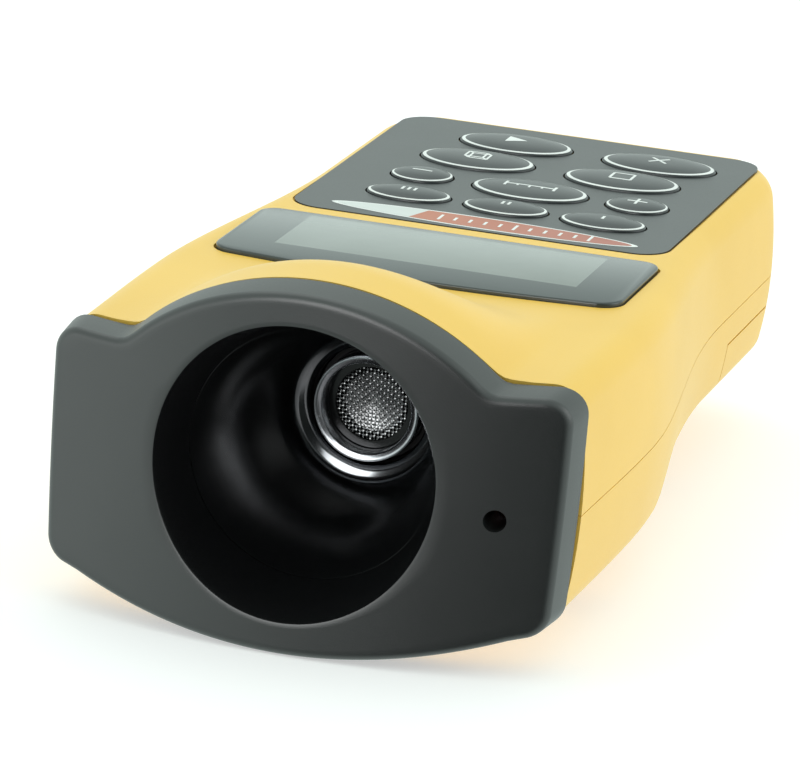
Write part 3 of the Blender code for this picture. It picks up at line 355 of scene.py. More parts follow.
def drafted(x, back, up, share=1.0):
    """Place of a point of the bezel, spread sideways and upwards towards the back by the mould's draft."""
    x *= 1 + share * SIDE_DRAFT * (back - SIDE_DRAFT_BACK)
    if up > 0:
        up *= 1 + share * TOP_DRAFT * (back - TOP_DRAFT_BACK)
    return at(x, back, up)


def bezel_row(row, column):
    """Rows run from inside the mouth, over its rim, across the face, round the edge and back inside."""
    x, up = outline[column]
    turn = math.atan2(up, x)
    cos, sin = math.cos(turn), math.sin(turn)
    rim = MOUTH_R
    for _ in range(5):
        rim = wall_radius(face_back(rim * cos, rim * sin))
    rim_back = face_back(rim * cos, rim * sin)
    if row == 0:
        return at(wall_radius(COLLAR_BACK) * cos, COLLAR_BACK, wall_radius(COLLAR_BACK) * sin)
    if row == 1:
        back = (COLLAR_BACK + rim_back) / 2
        return at(wall_radius(back) * cos, back, wall_radius(back) * sin)
    if row == 2:
        back = rim_back + MOUTH_EDGE_R
        return at(wall_radius(back) * cos, back, wall_radius(back) * sin)
    if row == 3:
        return at((rim + 0.1 * MM) * cos, rim_back + 0.1 * MM, (rim + 0.1 * MM) * sin)
    start = Vector((cos, sin)) * (rim + MOUTH_EDGE_R)
    edge = Vector((x, up)) + inward[column] * FACE_EDGE_R
    if row <= MOUTH_ROWS + FACE_ROWS:
        share = (row - MOUTH_ROWS) / FACE_ROWS
        spot = start.lerp(edge, share)
        return drafted(spot.x, face_back(spot.x, spot.y), spot.y, share)
    row -= MOUTH_ROWS + FACE_ROWS
    if row <= EDGE_STEPS:
        angle = math.radians(90 * row / EDGE_STEPS)
        spot = Vector((x, up)) + inward[column] * FACE_EDGE_R * (1 - math.sin(angle))
        sunk = FACE_EDGE_R * (1 - math.cos(angle))
        return drafted(spot.x, face_back(spot.x, spot.y) + sunk, spot.y)
    row -= EDGE_STEPS
    back_edge = face_back(x, up) + BEZEL_THICK
    spot = Vector((x, up)) + inward[column] * BACK_EDGE_R
    if row == 1:
        return drafted(x, back_edge - BACK_EDGE_R, up)
    if row == 2:
        return drafted(spot.x, back_edge, spot.y)
    if row in (3, 4):
        share = (row - 2) / 2
        spot = spot.lerp(Vector((cos, sin)) * COLLAR_R, share)
        return at(spot.x, face_back(spot.x, spot.y) + BEZEL_THICK, spot.y)
    return at(COLLAR_R * cos, COLLAR_BACK, COLLAR_R * sin)


bezel = ring_body("bezel", BEZEL_ROWS, len(outline), bezel_row)
barrel_low, barrel_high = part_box("laser_barrel")
laser_x = (barrel_low.x + barrel_high.x) / 2
laser_up = (barrel_low.z + barrel_high.z) / 2 - AXIS_Z
carve(bezel, [peg(POINTER_HOLE_R, (laser_x, -4 * MM, laser_up), (laser_x, 20 * MM, laser_up), 40)])
soft_shade(bezel, 38)

satin, satin_nodes = new_finish("black_satin_abs", (0.010, 0.012, 0.012), 0.32, shine=0.85)
add_clouds(satin_nodes, 60.0, (0.008, 0.010, 0.010), (0.012, 0.014, 0.014))
add_grain(satin_nodes, 3800.0, 0.010 * MM, 0.38, 0.05)
gloss, gloss_nodes = new_finish("black_gloss_abs", (0.007, 0.007, 0.0075), 0.16)
add_grain(gloss_nodes, 900.0, 0.004 * MM, 0.16, 0.05)
bezel.data.materials.append(satin)


def second_finish(piece, finish, chosen):
    """Gives another finish to the faces chosen by distance from the axis, depth and facing."""
    piece.data.materials.append(finish)
    for face in piece.data.polygons:
        from_axis = math.hypot(face.center.x, face.center.z - AXIS_Z)
        face.material_index = int(chosen(from_axis, face.center.y - FRONT_Y, face.normal.y))


second_finish(bezel, gloss, lambda out, back, facing:
              abs(out - wall_radius(back)) < 0.08 * MM and back < COLLAR_BACK)
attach(bezel, "root")
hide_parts("front_bezel")

# -------------------- sound horn
# A cone moulded in glossy black ABS behind the bezel. It ends in a sloped, polished ledge round the
# transducer's socket, and its flange bears on the bezel's collar.
HORN_START = 10.8 * MM
HORN_END = 49.0 * MM
HORN_WALL = 1.6 * MM
FLANGE_R = 23.7 * MM
SOCKET_R = 9.0 * MM
HORN_SIDES = 128
FLANGE_THICK = 1.5 * MM
SOCKET_STOP_R = 6.5 * MM
SOCKET_FLOOR = HORN_END - 1.0 * MM
LEDGE_ROUND = [(0.0, 1.9), (0.05, 1.55), (0.3, 1.25), (0.9, 0.95), (1.5, 0.68), (2.0, 0.40), (2.3, 0.05)]
LEDGE_LIP = [(0.13, 0.4), (0.25, 0.9)]
horn_profile = [(FLANGE_R, HORN_START), (FLANGE_R, HORN_START + FLANGE_THICK),
                (wall_radius(HORN_START + FLANGE_THICK) + HORN_WALL, HORN_START + FLANGE_THICK),
                (THROAT_R + HORN_WALL, THROAT_BACK), (SOCKET_R + HORN_WALL, THROAT_BACK + 2.5 * MM),
                (SOCKET_R + HORN_WALL, HORN_END), (SOCKET_STOP_R, HORN_END), (SOCKET_STOP_R, SOCKET_FLOOR),
                (SOCKET_R, SOCKET_FLOOR)]
horn_profile += [(SOCKET_R + out * MM, THROAT_BACK + back * MM) for out, back in LEDGE_ROUND]
horn_profile += [(THROAT_R + out * MM, THROAT_BACK - ahead_of * MM) for out, ahead_of in LEDGE_LIP]
for step in range(1, 9):
    back = THROAT_BACK - 0.9 * MM + (HORN_START - THROAT_BACK + 0.9 * MM) * step / 8
    horn_profile.append((wall_radius(back), back))


def turned_about(x, up, profile, sides):
    """Gives ring_body the places of a (radius, back) profile turned about a line along the meter."""
    def place(row, column):
        radius, back = profile[row]
        turn = 2 * math.pi * column / sides
        return at(x + radius * math.cos(turn), back, up + radius * math.sin(turn))
    return place


horn = ring_body("horn", len(horn_profile), HORN_SIDES, turned_about(0.0, 0.0, horn_profile, HORN_SIDES))
soft_shade(horn, 32)
horn.data.materials.append(gloss)
polish, polish_nodes = new_finish("polished_ledge", (0.25, 0.26, 0.27), 0.13, metallic=1.0)
add_clouds(polish_nodes, 220.0, (0.19, 0.20, 0.21), (0.32, 0.33, 0.34))
second_finish(horn, polish, lambda out, back, facing:
              SOCKET_R < out < THROAT_R - 0.1 * MM and facing < -0.5)
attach(horn, "root")
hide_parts("sound_horn")

# -------------------- transducer can
# A drawn aluminium can, 16 mm across, with a funnel-shaped bright lip round a recessed black front
# plate. It stands a little proud of the ledge in a rubber grommet, with a dark gap round it.
CAN_R = 8.0 * MM
CAN_START = 35.5 * MM
CAN_END = 47.5 * MM
CAN_WALL = 0.45 * MM
CAN_MOUTH_R = 6.8 * MM
CAN_WINDOW_R = 5.5 * MM
CAN_PLATE_BACK = CAN_START + 3.2 * MM
CAN_SIDES = 96
CAN_PLATE_THICK = 0.25 * MM
CAN_LIP = [(0.0, 0.40), (0.04, 0.22), (0.14, 0.08), (0.30, 0.06), (0.60, 0.20), (0.90, 0.34)]
can_profile = [(CAN_R - inset * MM, CAN_START + back * MM) for inset, back in CAN_LIP]
can_profile += [(CAN_MOUTH_R + 0.12 * MM, CAN_START + 0.44 * MM), (CAN_MOUTH_R, CAN_START + 0.60 * MM),
                (CAN_MOUTH_R, CAN_PLATE_BACK - 0.15 * MM), (CAN_MOUTH_R - 0.15 * MM, CAN_PLATE_BACK),
                (CAN_WINDOW_R + 0.1 * MM, CAN_PLATE_BACK), (CAN_WINDOW_R, CAN_PLATE_BACK + 0.1 * MM),
                (CAN_WINDOW_R, CAN_PLATE_BACK + CAN_PLATE_THICK),
                (CAN_R - CAN_WALL, CAN_PLATE_BACK + CAN_PLATE_THICK),
                (CAN_R - CAN_WALL, CAN_END), (CAN_R, CAN_END)]
can = ring_body("can", len(can_profile), CAN_SIDES, turned_about(0.0, 0.0, can_profile, CAN_SIDES))
soft_shade(can, 40)
drawn, drawn_nodes = new_finish("drawn_aluminium", (0.55, 0.57, 0.60), 0.24, metallic=1.0)
add_clouds(drawn_nodes, 400.0, (0.46, 0.48, 0.51), (0.62, 0.64, 0.67))
add_grain(drawn_nodes, 2500.0, 0.004 * MM, 0.24, 0.08)
can.data.materials.append(drawn)
second_finish(can, gloss, lambda out, back, facing: out < CAN_MOUTH_R - 0.01 * MM)
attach(can, "root")
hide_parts("transducer_can")

# -------------------- transducer screen
# A round of plain-woven steel wire cloth held behind the can's front plate. Each wire goes over
# and under the wires that cross it.
SCREEN_R = 6.2 * MM
SCREEN_BACK = 39.30 * MM
WIRE_PITCH = 0.56 * MM
WIRE_R = 0.13 * MM
WIRE_SIDES = 4


def screen_mesh():
    """The whole cloth as one mesh: a grid of short tubes swept along both directions."""
    points, faces = [], []
    count = int(SCREEN_R / WIRE_PITCH)
    for upright in (False, True):
        for number in range(-count, count + 1):
            across = number * WIRE_PITCH
            reach = math.sqrt(max(SCREEN_R ** 2 - across ** 2, 0.0))
            if reach < WIRE_PITCH:
                continue
            steps = max(4, int(round(reach / WIRE_PITCH)) * 8)
            first = len(points)
            for step in range(steps + 1):
                along = -reach + 2 * reach * step / steps
                phase = math.cos(math.pi * along / WIRE_PITCH) * (1 if number % 2 else -1)
                wave = WIRE_R * phase * (1 if upright else -1)
                for side in range(WIRE_SIDES):
                    turn = 2 * math.pi * (side + 0.5) / WIRE_SIDES
                    beside = across + WIRE_R * math.cos(turn)
                    depth = SCREEN_BACK + wave + WIRE_R * math.sin(turn)
                    x, up = (beside, along) if upright else (along, beside)
                    points.append(at(x, depth, up))
            for step in range(steps):
                for side in range(WIRE_SIDES):
                    a = first + step * WIRE_SIDES + side
                    b = first + step * WIRE_SIDES + (side + 1) % WIRE_SIDES
                    faces.append((a, b, b + WIRE_SIDES, a + WIRE_SIDES))
            last = first + steps * WIRE_SIDES
            faces.append(tuple(range(first, first + WIRE_SIDES)))
            faces.append(tuple(range(last, last + WIRE_SIDES)))
    return points, faces


cloth_points, cloth_faces = screen_mesh()
cloth_mesh = bpy.data.meshes.new("screen")
cloth_mesh.from_pydata(cloth_points, [], cloth_faces)
screen = bpy.data.objects.new("screen", cloth_mesh)
bpy.context.scene.collection.objects.link(screen)
face_outwards(screen)
soft_shade(screen, 60)
wire_finish, wire_nodes = new_finish("steel_wire", (0.36, 0.37, 0.37), 0.26, metallic=1.0)
add_clouds(wire_nodes, 300.0, (0.28, 0.29, 0.29), (0.44, 0.45, 0.45))
screen.data.materials.append(wire_finish)
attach(screen, "root")
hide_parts("transducer_mesh")

# -------------------- upper case
# The upper half shell, injection moulded in yellow ABS with a fine satin texture. Its round mound
# clears the horn, and it has sunk seats for the display plate and the keypad and a hole per key.
CASE_END = 155.5 * MM
CASE_TOP = 15.0 * MM
END_PLAN_R = 12.0 * MM
END_EDGE_R = 3.5 * MM
HEAD_BOTTOM = -26.2 * MM
GRIP_BOTTOM = -15.7 * MM
SIDE_R = 4.5 * MM
WALL = 2.0 * MM
GAP = 0.3 * MM
SEAM = 0.14 * MM
MOUND_FLAT_BACK = 16.0 * MM
MOUND_END_BACK = 52.0 * MM
FRONT_BLEND_BACK = 30.0 * MM
TOP_STEPS = 36
ROUND_STEPS = 9
SIDE_STEPS = 8
HEAD_HALF_W = 39.0 * MM
HEAD_SPREAD, HEAD_SPREAD_START, HEAD_SPREAD_RUN = 0.7 * MM, 7 * MM, 38 * MM
GRIP_DRAW_IN, GRIP_START, GRIP_RUN = 5.3 * MM, 48 * MM, 64 * MM
BOTTOM_STEP_START, BOTTOM_STEP_RUN = 63 * MM, 21 * MM
PARTING_UP = -4.0 * MM
PART_STEP, PART_STEP_START, PART_STEP_RUN = 2.5 * MM, 58 * MM, 36 * MM
MOUND_FOOT_R = 1.2 * MM
MOUND_FADE_START, MOUND_FADE_RUN = 6 * MM, 3 * MM
UPPER_LEAN = 0.8 * MM
LOWER_LEAN = 1.0 * MM
PLATE_HALF_W, PLATE_NEAR, PLATE_FAR = 31.7 * MM, 52.4 * MM, 80.9 * MM
PLATE_FAR_R, PLATE_NEAR_R, PLATE_BOW_R = 3 * MM, 4 * MM, 184 * MM
FILM_HALF_W, FILM_NEAR, FILM_FAR, FILM_R = 30.1 * MM, 86.4 * MM, 151.6 * MM, 5.0 * MM
VIEW_HALF_W, VIEW_NEAR, VIEW_FAR = 24.6 * MM, 60.2 * MM, 79.9 * MM
PLATE_SEAT_UP, FILM_SEAT_UP, OVER_CASE = 14.3 * MM, 14.6 * MM, 20 * MM


def smooth_step(t):
    t = max(0.0, min(1.0, t))
    return t * t * (3.0 - 2.0 * t)


def half_width(back):
    """Half width of the case: a broad head that draws in to the grip."""
    head = HEAD_HALF_W + HEAD_SPREAD * smooth_step((back - HEAD_SPREAD_START) / HEAD_SPREAD_RUN)
    return head - GRIP_DRAW_IN * smooth_step((back - GRIP_START) / GRIP_RUN)


def bottom_up(back):
    """Underside on the middle line: a deep head, then a step up to the grip."""
    step_up = smooth_step((back - BOTTOM_STEP_START) / BOTTOM_STEP_RUN)
    return HEAD_BOTTOM + (GRIP_BOTTOM - HEAD_BOTTOM) * step_up


def parting_up(back):
    """Height of the line where the two halves meet."""
    return PARTING_UP + PART_STEP * smooth_step((back - PART_STEP_START) / PART_STEP_RUN)


def mound_height(x, back):
    """Height of the round mound over the flat top."""
    arc = MOUND_CENTRE_UP + math.sqrt(max(MOUND_R ** 2 - x * x, 0.0)) - CASE_TOP
    rounded = 0.5 * (arc + math.sqrt(arc * arc + MOUND_FOOT_R ** 2))
    run = (back - MOUND_FLAT_BACK) / (MOUND_END_BACK - MOUND_FLAT_BACK)
    fade = 0.5 + 0.5 * math.cos(math.pi * max(0.0, min(1.0, run)))
    return rounded * fade * smooth_step((arc + MOUND_FADE_START) / MOUND_FADE_RUN)


def end_drop(back):
    """How far the rounded rear end draws the section in: from the sides, and from top and bottom."""
    into_plan = max(0.0, back - (CASE_END - END_PLAN_R))
    into_edge = max(0.0, back - (CASE_END - END_EDGE_R))
    side = END_PLAN_R - math.sqrt(max(END_PLAN_R ** 2 - into_plan ** 2, 0.0))
    edge = END_EDGE_R - math.sqrt(max(END_EDGE_R ** 2 - into_edge ** 2, 0.0))
    return side, edge


def section_heights(back):
    """Half width, top, corner heights and the middle of the side at one station."""
    side, edge = end_drop(back)
    half = half_width(back) - side
    top = CASE_TOP - edge
    low = bottom_up(back) + edge
    bow = smooth_step((BOTTOM_STEP_START + BOTTOM_STEP_RUN - back) / BOTTOM_STEP_RUN) / (2 * BOTTOM_ARC_R)
    corner_up = low + bow * (half - LOWER_LEAN - SIDE_R) ** 2 + SIDE_R
    middle = (top - SIDE_R + corner_up) / 2
    return half, top, low, bow, corner_up, middle


def upper_half_section(back):
    """(x, up) points from the top middle to the parting line."""
    half, top, low, bow, corner_up, middle = section_heights(back)
    corner_x = half - UPPER_LEAN - SIDE_R
    points = []
    for step in range(TOP_STEPS + 1):
        x = corner_x * step / TOP_STEPS
        points.append((x, top + mound_height(x, back)))
    points += fillet(corner_x, top - SIDE_R, SIDE_R, 90, 6, ROUND_STEPS)[1:]
    start_x, start_up = points[-1]
    end_up = parting_up(back) + SEAM / 2
    for step in range(1, SIDE_STEPS + 1):
        up = start_up + (end_up - start_up) * step / SIDE_STEPS
        rest = (up - middle) / (start_up - middle)
        points.append((half - (half - start_x) * rest * rest, up))
    return points


def lower_half_section(back):
    """(x, up) points from the parting line to the bottom middle."""
    half, top, low, bow, corner_up, middle = section_heights(back)
    corner_x = half - LOWER_LEAN - SIDE_R
    arc = fillet(corner_x, corner_up, SIDE_R, -6, -78, ROUND_STEPS)
    end_x, end_up = arc[0]
    start_up = parting_up(back) - SEAM / 2
    points = []
    for step in range(SIDE_STEPS):
        up = start_up + (end_up - start_up) * step / SIDE_STEPS
        rest = (up - middle) / (end_up - middle)
        points.append((half - (half - end_x) * rest * rest, up))
    points += arc
    last_x = points[-1][0]
    for step in range(1, TOP_STEPS // 2 + 1):
        x = last_x * (1 - step / (TOP_STEPS // 2))
        points.append((x, low + bow * x * x))
    return points


case_stations = [step * 1.5 * MM for step in range(40)]
case_stations += [(60 + 1.25 * step) * MM for step in range(21)]
case_stations += [(86 + 3.0 * step) * MM for step in range(19)]
case_stations += [CASE_END - END_PLAN_R * (1 - math.sin(math.radians(6 * step))) for step in range(16)]


def case_half(name, half_section):
    """One half shell: a grid bent round the sections, closed at the rear and given its wall."""
    columns = 2 * (len(half_section(FRONT_BLEND_BACK)) - 1)
    rows = len(case_stations) - 1
    bpy.ops.object.select_all(action='DESELECT')
    bpy.ops.mesh.primitive_grid_add(x_subdivisions=columns, y_subdivisions=rows, size=1.0)
    half = bpy.context.object
    half.name = name
    last_row = []
    for vertex in half.data.vertices:
        column = round((vertex.co.x + 0.5) * columns)
        row = round((vertex.co.y + 0.5) * rows)
        station = case_stations[row]
        number = column - columns // 2
        side = 1 if number >= 0 else -1
        count = columns // 2
        order = abs(number) if half_section is upper_half_section else count - abs(number)
        x, up = half_section(max(station, HEAD_SPREAD_START))[order]
        if station < FRONT_BLEND_BACK:
            front = face_back(x, up) + BEZEL_THICK + GAP
            station = front + station * (FRONT_BLEND_BACK - front) / FRONT_BLEND_BACK
            x, up = half_section(station)[order]
        vertex.co = at(side * x, station, up)
        if row == rows:
            last_row.append(vertex.index)
    bpy.ops.object.mode_set(mode='EDIT')
    bpy.ops.mesh.select_all(action='DESELECT')
    bpy.ops.object.mode_set(mode='OBJECT')
    for index in last_row:
        half.data.vertices[index].select = True
    bpy.ops.object.mode_set(mode='EDIT')
    bpy.ops.mesh.edge_face_add()
    bpy.ops.mesh.select_all(action='SELECT')
    bpy.ops.mesh.normals_make_consistent(inside=False)
    bpy.ops.object.mode_set(mode='OBJECT')
    apply_modifier(half, 'SOLIDIFY', thickness=WALL, offset=-1.0, use_even_offset=True)
    return half


def oval_block(x, back, half_w, half_l, low, high, sides=64):
    """An upright oval cutter."""
    block = peg(1.0, (x, back, low), (x, back, high), sides)
    block.scale = (half_w, half_l, 1.0)
    return block


def square_block(low, high):
    """A plain square cutter or block between two corners."""
    a, b = at(*low), at(*high)
    bpy.ops.object.select_all(action='DESELECT')
    bpy.ops.mesh.primitive_cube_add(size=1.0, location=(a + b) / 2)
    bpy.context.object.scale = b - a
    return bpy.context.object


def sheet_body(name, edge_points, low, high):
    """A flat body with a given (x, back) outline, from a filled circle that is drawn out and extruded."""
    bpy.ops.object.select_all(action='DESELECT')
    bpy.ops.mesh.primitive_circle_add(vertices=len(edge_points), radius=1.0, fill_type='NGON')
    body = bpy.context.object
    body.name = name
    for vertex, (x, back) in zip(body.data.vertices, edge_points):
        vertex.co = at(x, back, high)
    bpy.ops.object.mode_set(mode='EDIT')
    bpy.ops.mesh.select_all(action='SELECT')
    bpy.ops.mesh.extrude_region_move(TRANSFORM_OT_translate={"value": (0.0, 0.0, low - high)})
    bpy.ops.object.mode_set(mode='OBJECT')
    face_outwards(body)
    return body


def round_corners(half_w, near, far, radius, steps=10):
    """(x, back) points of a rectangle with round corners."""
    points = fillet(half_w - radius, far - radius, radius, 0, 90, steps)
    points += fillet(radius - half_w, far - radius, radius, 90, 180, steps)
    points += fillet(radius - half_w, near + radius, radius, 180, 270, steps)
    return points + fillet(half_w - radius, near + radius, radius, 270, 360, steps)


def plate_outline(grow):
    """Outline of the display plate, whose near edge is bowed to clear the mound."""
    half_w, near, far = PLATE_HALF_W + grow, PLATE_NEAR - grow, PLATE_FAR + grow
    points = fillet(half_w - PLATE_FAR_R, far - PLATE_FAR_R, PLATE_FAR_R, 0, 90, 8)
    points += fillet(PLATE_FAR_R - half_w, far - PLATE_FAR_R, PLATE_FAR_R, 90, 180, 8)
    edge = half_w - PLATE_NEAR_R
    corner_back = near + edge ** 2 / (2 * PLATE_BOW_R) + PLATE_NEAR_R
    points += fillet(-edge, corner_back, PLATE_NEAR_R, 180, 260, 8)
    for step in range(1, 24):
        x = -edge + 2 * edge * step / 24
        points.append((x, near + x * x / (2 * PLATE_BOW_R)))
    return points + fillet(edge, corner_back, PLATE_NEAR_R, 280, 360, 8)


key_sizes = {}
for node in sorted(frame["nodes"]):
    if node.startswith("key_"):
        key_low, key_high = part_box(node)
        centre = (key_low + key_high) / 2
        half_w = (key_high.x - key_low.x) / 2 - 0.5 * MM
        half_l = (key_high.y - key_low.y) / 2 * half_w / (half_w + 0.5 * MM)
        key_sizes[node] = (centre.x, centre.y - FRONT_Y, half_w, half_l)

upper = case_half("upper_shell", upper_half_section)
film_seat = round_corners(FILM_HALF_W + GAP, FILM_NEAR - GAP, FILM_FAR + GAP, FILM_R + GAP)
upper_cutters = [sheet_body("plate_seat", plate_outline(GAP), PLATE_SEAT_UP, OVER_CASE),
                 sheet_body("film_seat", film_seat, FILM_SEAT_UP, OVER_CASE),
                 square_block((-VIEW_HALF_W, VIEW_NEAR, 10 * MM), (VIEW_HALF_W, VIEW_FAR, 14.35 * MM))]
for x, back, half_w, half_l in key_sizes.values():
    upper_cutters.append(oval_block(x, back, half_w + 0.1 * MM, half_l + 0.1 * MM, 12 * MM, 14.65 * MM))
carve(upper, upper_cutters)
soft_shade(upper, 35)

yellow, yellow_nodes = new_finish("yellow_abs", (0.86, 0.525, 0.082), 0.38, shine=0.42)
add_clouds(yellow_nodes, 45.0, (0.84, 0.51, 0.076), (0.88, 0.54, 0.088))
add_grain(yellow_nodes, 3200.0, 0.010 * MM, 0.38, 0.06)
upper.data.materials.append(yellow)
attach(upper, "root")
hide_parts("upper_case")

# -------------------- lower case and battery door
# The lower half shell and the battery door are the same yellow ABS. Screws go up deep wells into
# bosses. The door wraps the grip's rear corners and slides off backwards, pushed by its ridges.
DOOR_NEAR = 119.0 * MM
DOOR_EDGE_UP = -6.5 * MM
SCREW_WELL_R = 3.0 * MM
SCREW_BOSS_R = 4.2 * MM
SCREW_SHAFT_R = 1.6 * MM
SCREW_SHAFT_TOP = 4 * MM
SCREW_BOSS_TOP = 1.4 * MM
SCREW_HEAD_DEEP = 1.9 * MM
HEAD_END = 60 * MM
HEAD_BOSS_DROP = 5.5 * MM
GRIP_BOSS_DROP = 4.0 * MM
BLOCK_HALF_W, BLOCK_LOW, BLOCK_FAR = 50 * MM, -40 * MM, 170 * MM
case_screws = []
for number in range(1, 5):
    screw_low, screw_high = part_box(f"case_screw_{number}")
    middle = (screw_low + screw_high) / 2
    case_screws.append((middle.x, middle.y - FRONT_Y, screw_low.z - AXIS_Z + SCREW_HEAD_DEEP))

lower = case_half("lower_shell", lower_half_section)
door_body = lower.copy()
door_body.data = lower.data.copy()
bpy.context.scene.collection.objects.link(door_body)
door_body.name = "sliding_door"
carve(lower, [square_block((-BLOCK_HALF_W, DOOR_NEAR, BLOCK_LOW), (BLOCK_HALF_W, BLOCK_FAR, DOOR_EDGE_UP))])
carve(door_body, [square_block((-BLOCK_HALF_W, DOOR_NEAR + GAP, BLOCK_LOW),
                               (BLOCK_HALF_W, BLOCK_FAR, DOOR_EDGE_UP - GAP))], 'INTERSECT')
for x, back, seat in case_screws:
    boss_low = seat - (HEAD_BOSS_DROP if back < HEAD_END else GRIP_BOSS_DROP)
    carve(lower, [peg(SCREW_BOSS_R, (x, back, boss_low), (x, back, SCREW_BOSS_TOP))], 'UNION')
    carve(lower, [peg(SCREW_WELL_R, (x, back, BLOCK_LOW), (x, back, seat)),
                  peg(SCREW_SHAFT_R, (x, back, seat - 1 * MM), (x, back, SCREW_SHAFT_TOP), 24)])
soft_shade(lower, 35)
lower.data.materials.append(yellow)
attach(lower, "root")
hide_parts("lower_case")

RIB_START = 129.0 * MM
RIB_PITCH = 3.2 * MM
RIB_HALF_W, RIB_HALF_L = 9 * MM, 0.6 * MM
RIB_LOW, RIB_HIGH = -16.2 * MM, -15 * MM
TONGUE_HALF_W, TONGUE_START, TONGUE_END = 6 * MM, 114.6 * MM, 124 * MM
for number in range(5):
    rib_back = RIB_START + RIB_PITCH * number + RIB_HALF_L
    rib = square_block((-RIB_HALF_W, rib_back - RIB_HALF_L, RIB_LOW),
                       (RIB_HALF_W, rib_back + RIB_HALF_L, RIB_HIGH))
    bpy.ops.object.transform_apply(location=True, rotation=False, scale=True)
    apply_modifier(rib, 'BEVEL', width=0.35 * MM, segments=3)
    carve(door_body, [rib], 'UNION')
tongue = square_block((-TONGUE_HALF_W, TONGUE_START, -13.5 * MM), (TONGUE_HALF_W, TONGUE_END, -12.75 * MM))
tongue_root = square_block((-TONGUE_HALF_W, 121 * MM, -14.6 * MM), (TONGUE_HALF_W, TONGUE_END, -13 * MM))
carve(door_body, [tongue, tongue_root], 'UNION')
soft_shade(door_body, 35)
door_body.data.materials.append(yellow)
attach(door_body, "door")
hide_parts("battery_door")

# -------------------- display plate
# An acrylic plate over the display, printed dark grey round a window that carries the pale colour
# of the display behind it. It drops into its seat and stands a little proud, with a rounded edge.
PLATE_TOP = 15.7 * MM
PLATE_LOW = 14.4 * MM
WINDOW_HALF_W = 23.6 * MM
WINDOW_NEAR = 61.2 * MM
WINDOW_FAR = 79.0 * MM
EDGE_BLUR = 0.05 * MM


def bevel_rim(piece, high, width, segments):
    """Rounds the edges that lie at a piece's top."""
    pick(piece)
    bpy.ops.object.mode_set(mode='EDIT')
    bpy.ops.mesh.select_all(action='DESELECT')
    bpy.ops.object.mode_set(mode='OBJECT')
    for edge in piece.data.edges:
        ends = [piece.data.vertices[number].co for number in edge.vertices]
        edge.select = all(abs(end.z - AXIS_Z - high) < 0.00001 for end in ends)
    bpy.ops.object.mode_set(mode='EDIT')
    bpy.ops.mesh.bevel(offset=width, segments=segments, affect='EDGES', clamp_overlap=True)
    bpy.ops.object.mode_set(mode='OBJECT')


plate = sheet_body("window_plate", plate_outline(0.0), PLATE_LOW, PLATE_TOP)
bevel_rim(plate, PLATE_TOP, 0.35 * MM, 3)
soft_shade(plate, 30)
smoke, smoke_nodes = new_finish("printed_acrylic", (0.02, 0.024, 0.025), 0.10)


def times(tree, first, second):
    product = tree.nodes.new('ShaderNodeMath')
    product.operation = 'MULTIPLY'
    tree.links.new(first, product.inputs[0])
    tree.links.new(second, product.inputs[1])
    return product.outputs["Value"]


def inside_range(tree, value, low, high):
    """1 between two limits and 0 outside, with a thin soft edge."""
    return times(tree, add_ramp(tree, value, low - EDGE_BLUR, low + EDGE_BLUR),
                 add_ramp(tree, value, high - EDGE_BLUR, high + EDGE_BLUR, 1.0, 0.0))


def mix_colours(tree, share, first, second):
    """Mixes two colours or sockets by a share."""
    mixer = tree.nodes.new('ShaderNodeMix')
    mixer.data_type = 'RGBA'
    tree.links.new(share, mixer.inputs["Factor"])
    for socket, value in ((mixer.inputs[6], first), (mixer.inputs[7], second)):
        if isinstance(value, tuple):
            socket.default_value = (*value, 1.0)
        else:
            tree.links.new(value, socket)
    return mixer.outputs[2]


smoke_tree, smoke_shader, smoke_place = smoke_nodes
smoke_axes = smoke_tree.nodes.new('ShaderNodeSeparateXYZ')
smoke_tree.links.new(smoke_place, smoke_axes.inputs["Vector"])
window = times(smoke_tree,
               inside_range(smoke_tree, smoke_axes.outputs["X"], -WINDOW_HALF_W, WINDOW_HALF_W),
               inside_range(smoke_tree, smoke_axes.outputs["Y"], FRONT_Y + WINDOW_NEAR, FRONT_Y + WINDOW_FAR))
lcd_cloud = add_clouds(smoke_nodes, 90.0, (0.17, 0.19, 0.175), (0.20, 0.22, 0.205))
smoke_tree.links.new(mix_colours(smoke_tree, window, (0.045, 0.055, 0.056), lcd_cloud),
                     smoke_shader.inputs["Base Color"])
add_grain(smoke_nodes, 500.0, 0.0015 * MM, 0.12, 0.03)
plate.data.materials.append(smoke)
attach(plate, "root")
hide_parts("display_plate")

# -------------------- keypad film
# A dark grey printed plastic film stuck into a shallow seat over the grip, with an oval opening
# round each key.
FILM_TOP = 15.1 * MM
FILM_LOW = 14.7 * MM
film = sheet_body("keypad_sheet", round_corners(FILM_HALF_W, FILM_NEAR, FILM_FAR, FILM_R), FILM_LOW, FILM_TOP)
carve(film, [oval_block(x, back, half_w + 0.05 * MM, half_l + 0.05 * MM, 10 * MM, OVER_CASE)
             for x, back, half_w, half_l in key_sizes.values()])
soft_shade(film, 30)
film_finish, film_nodes = new_finish("grey_film", (0.030, 0.034, 0.036), 0.34)
add_clouds(film_nodes, 70.0, (0.027, 0.031, 0.032), (0.034, 0.038, 0.040))
add_grain(film_nodes, 5200.0, 0.006 * MM, 0.33, 0.05)
film.data.materials.append(film_finish)
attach(film, "root")
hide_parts("keypad_film")

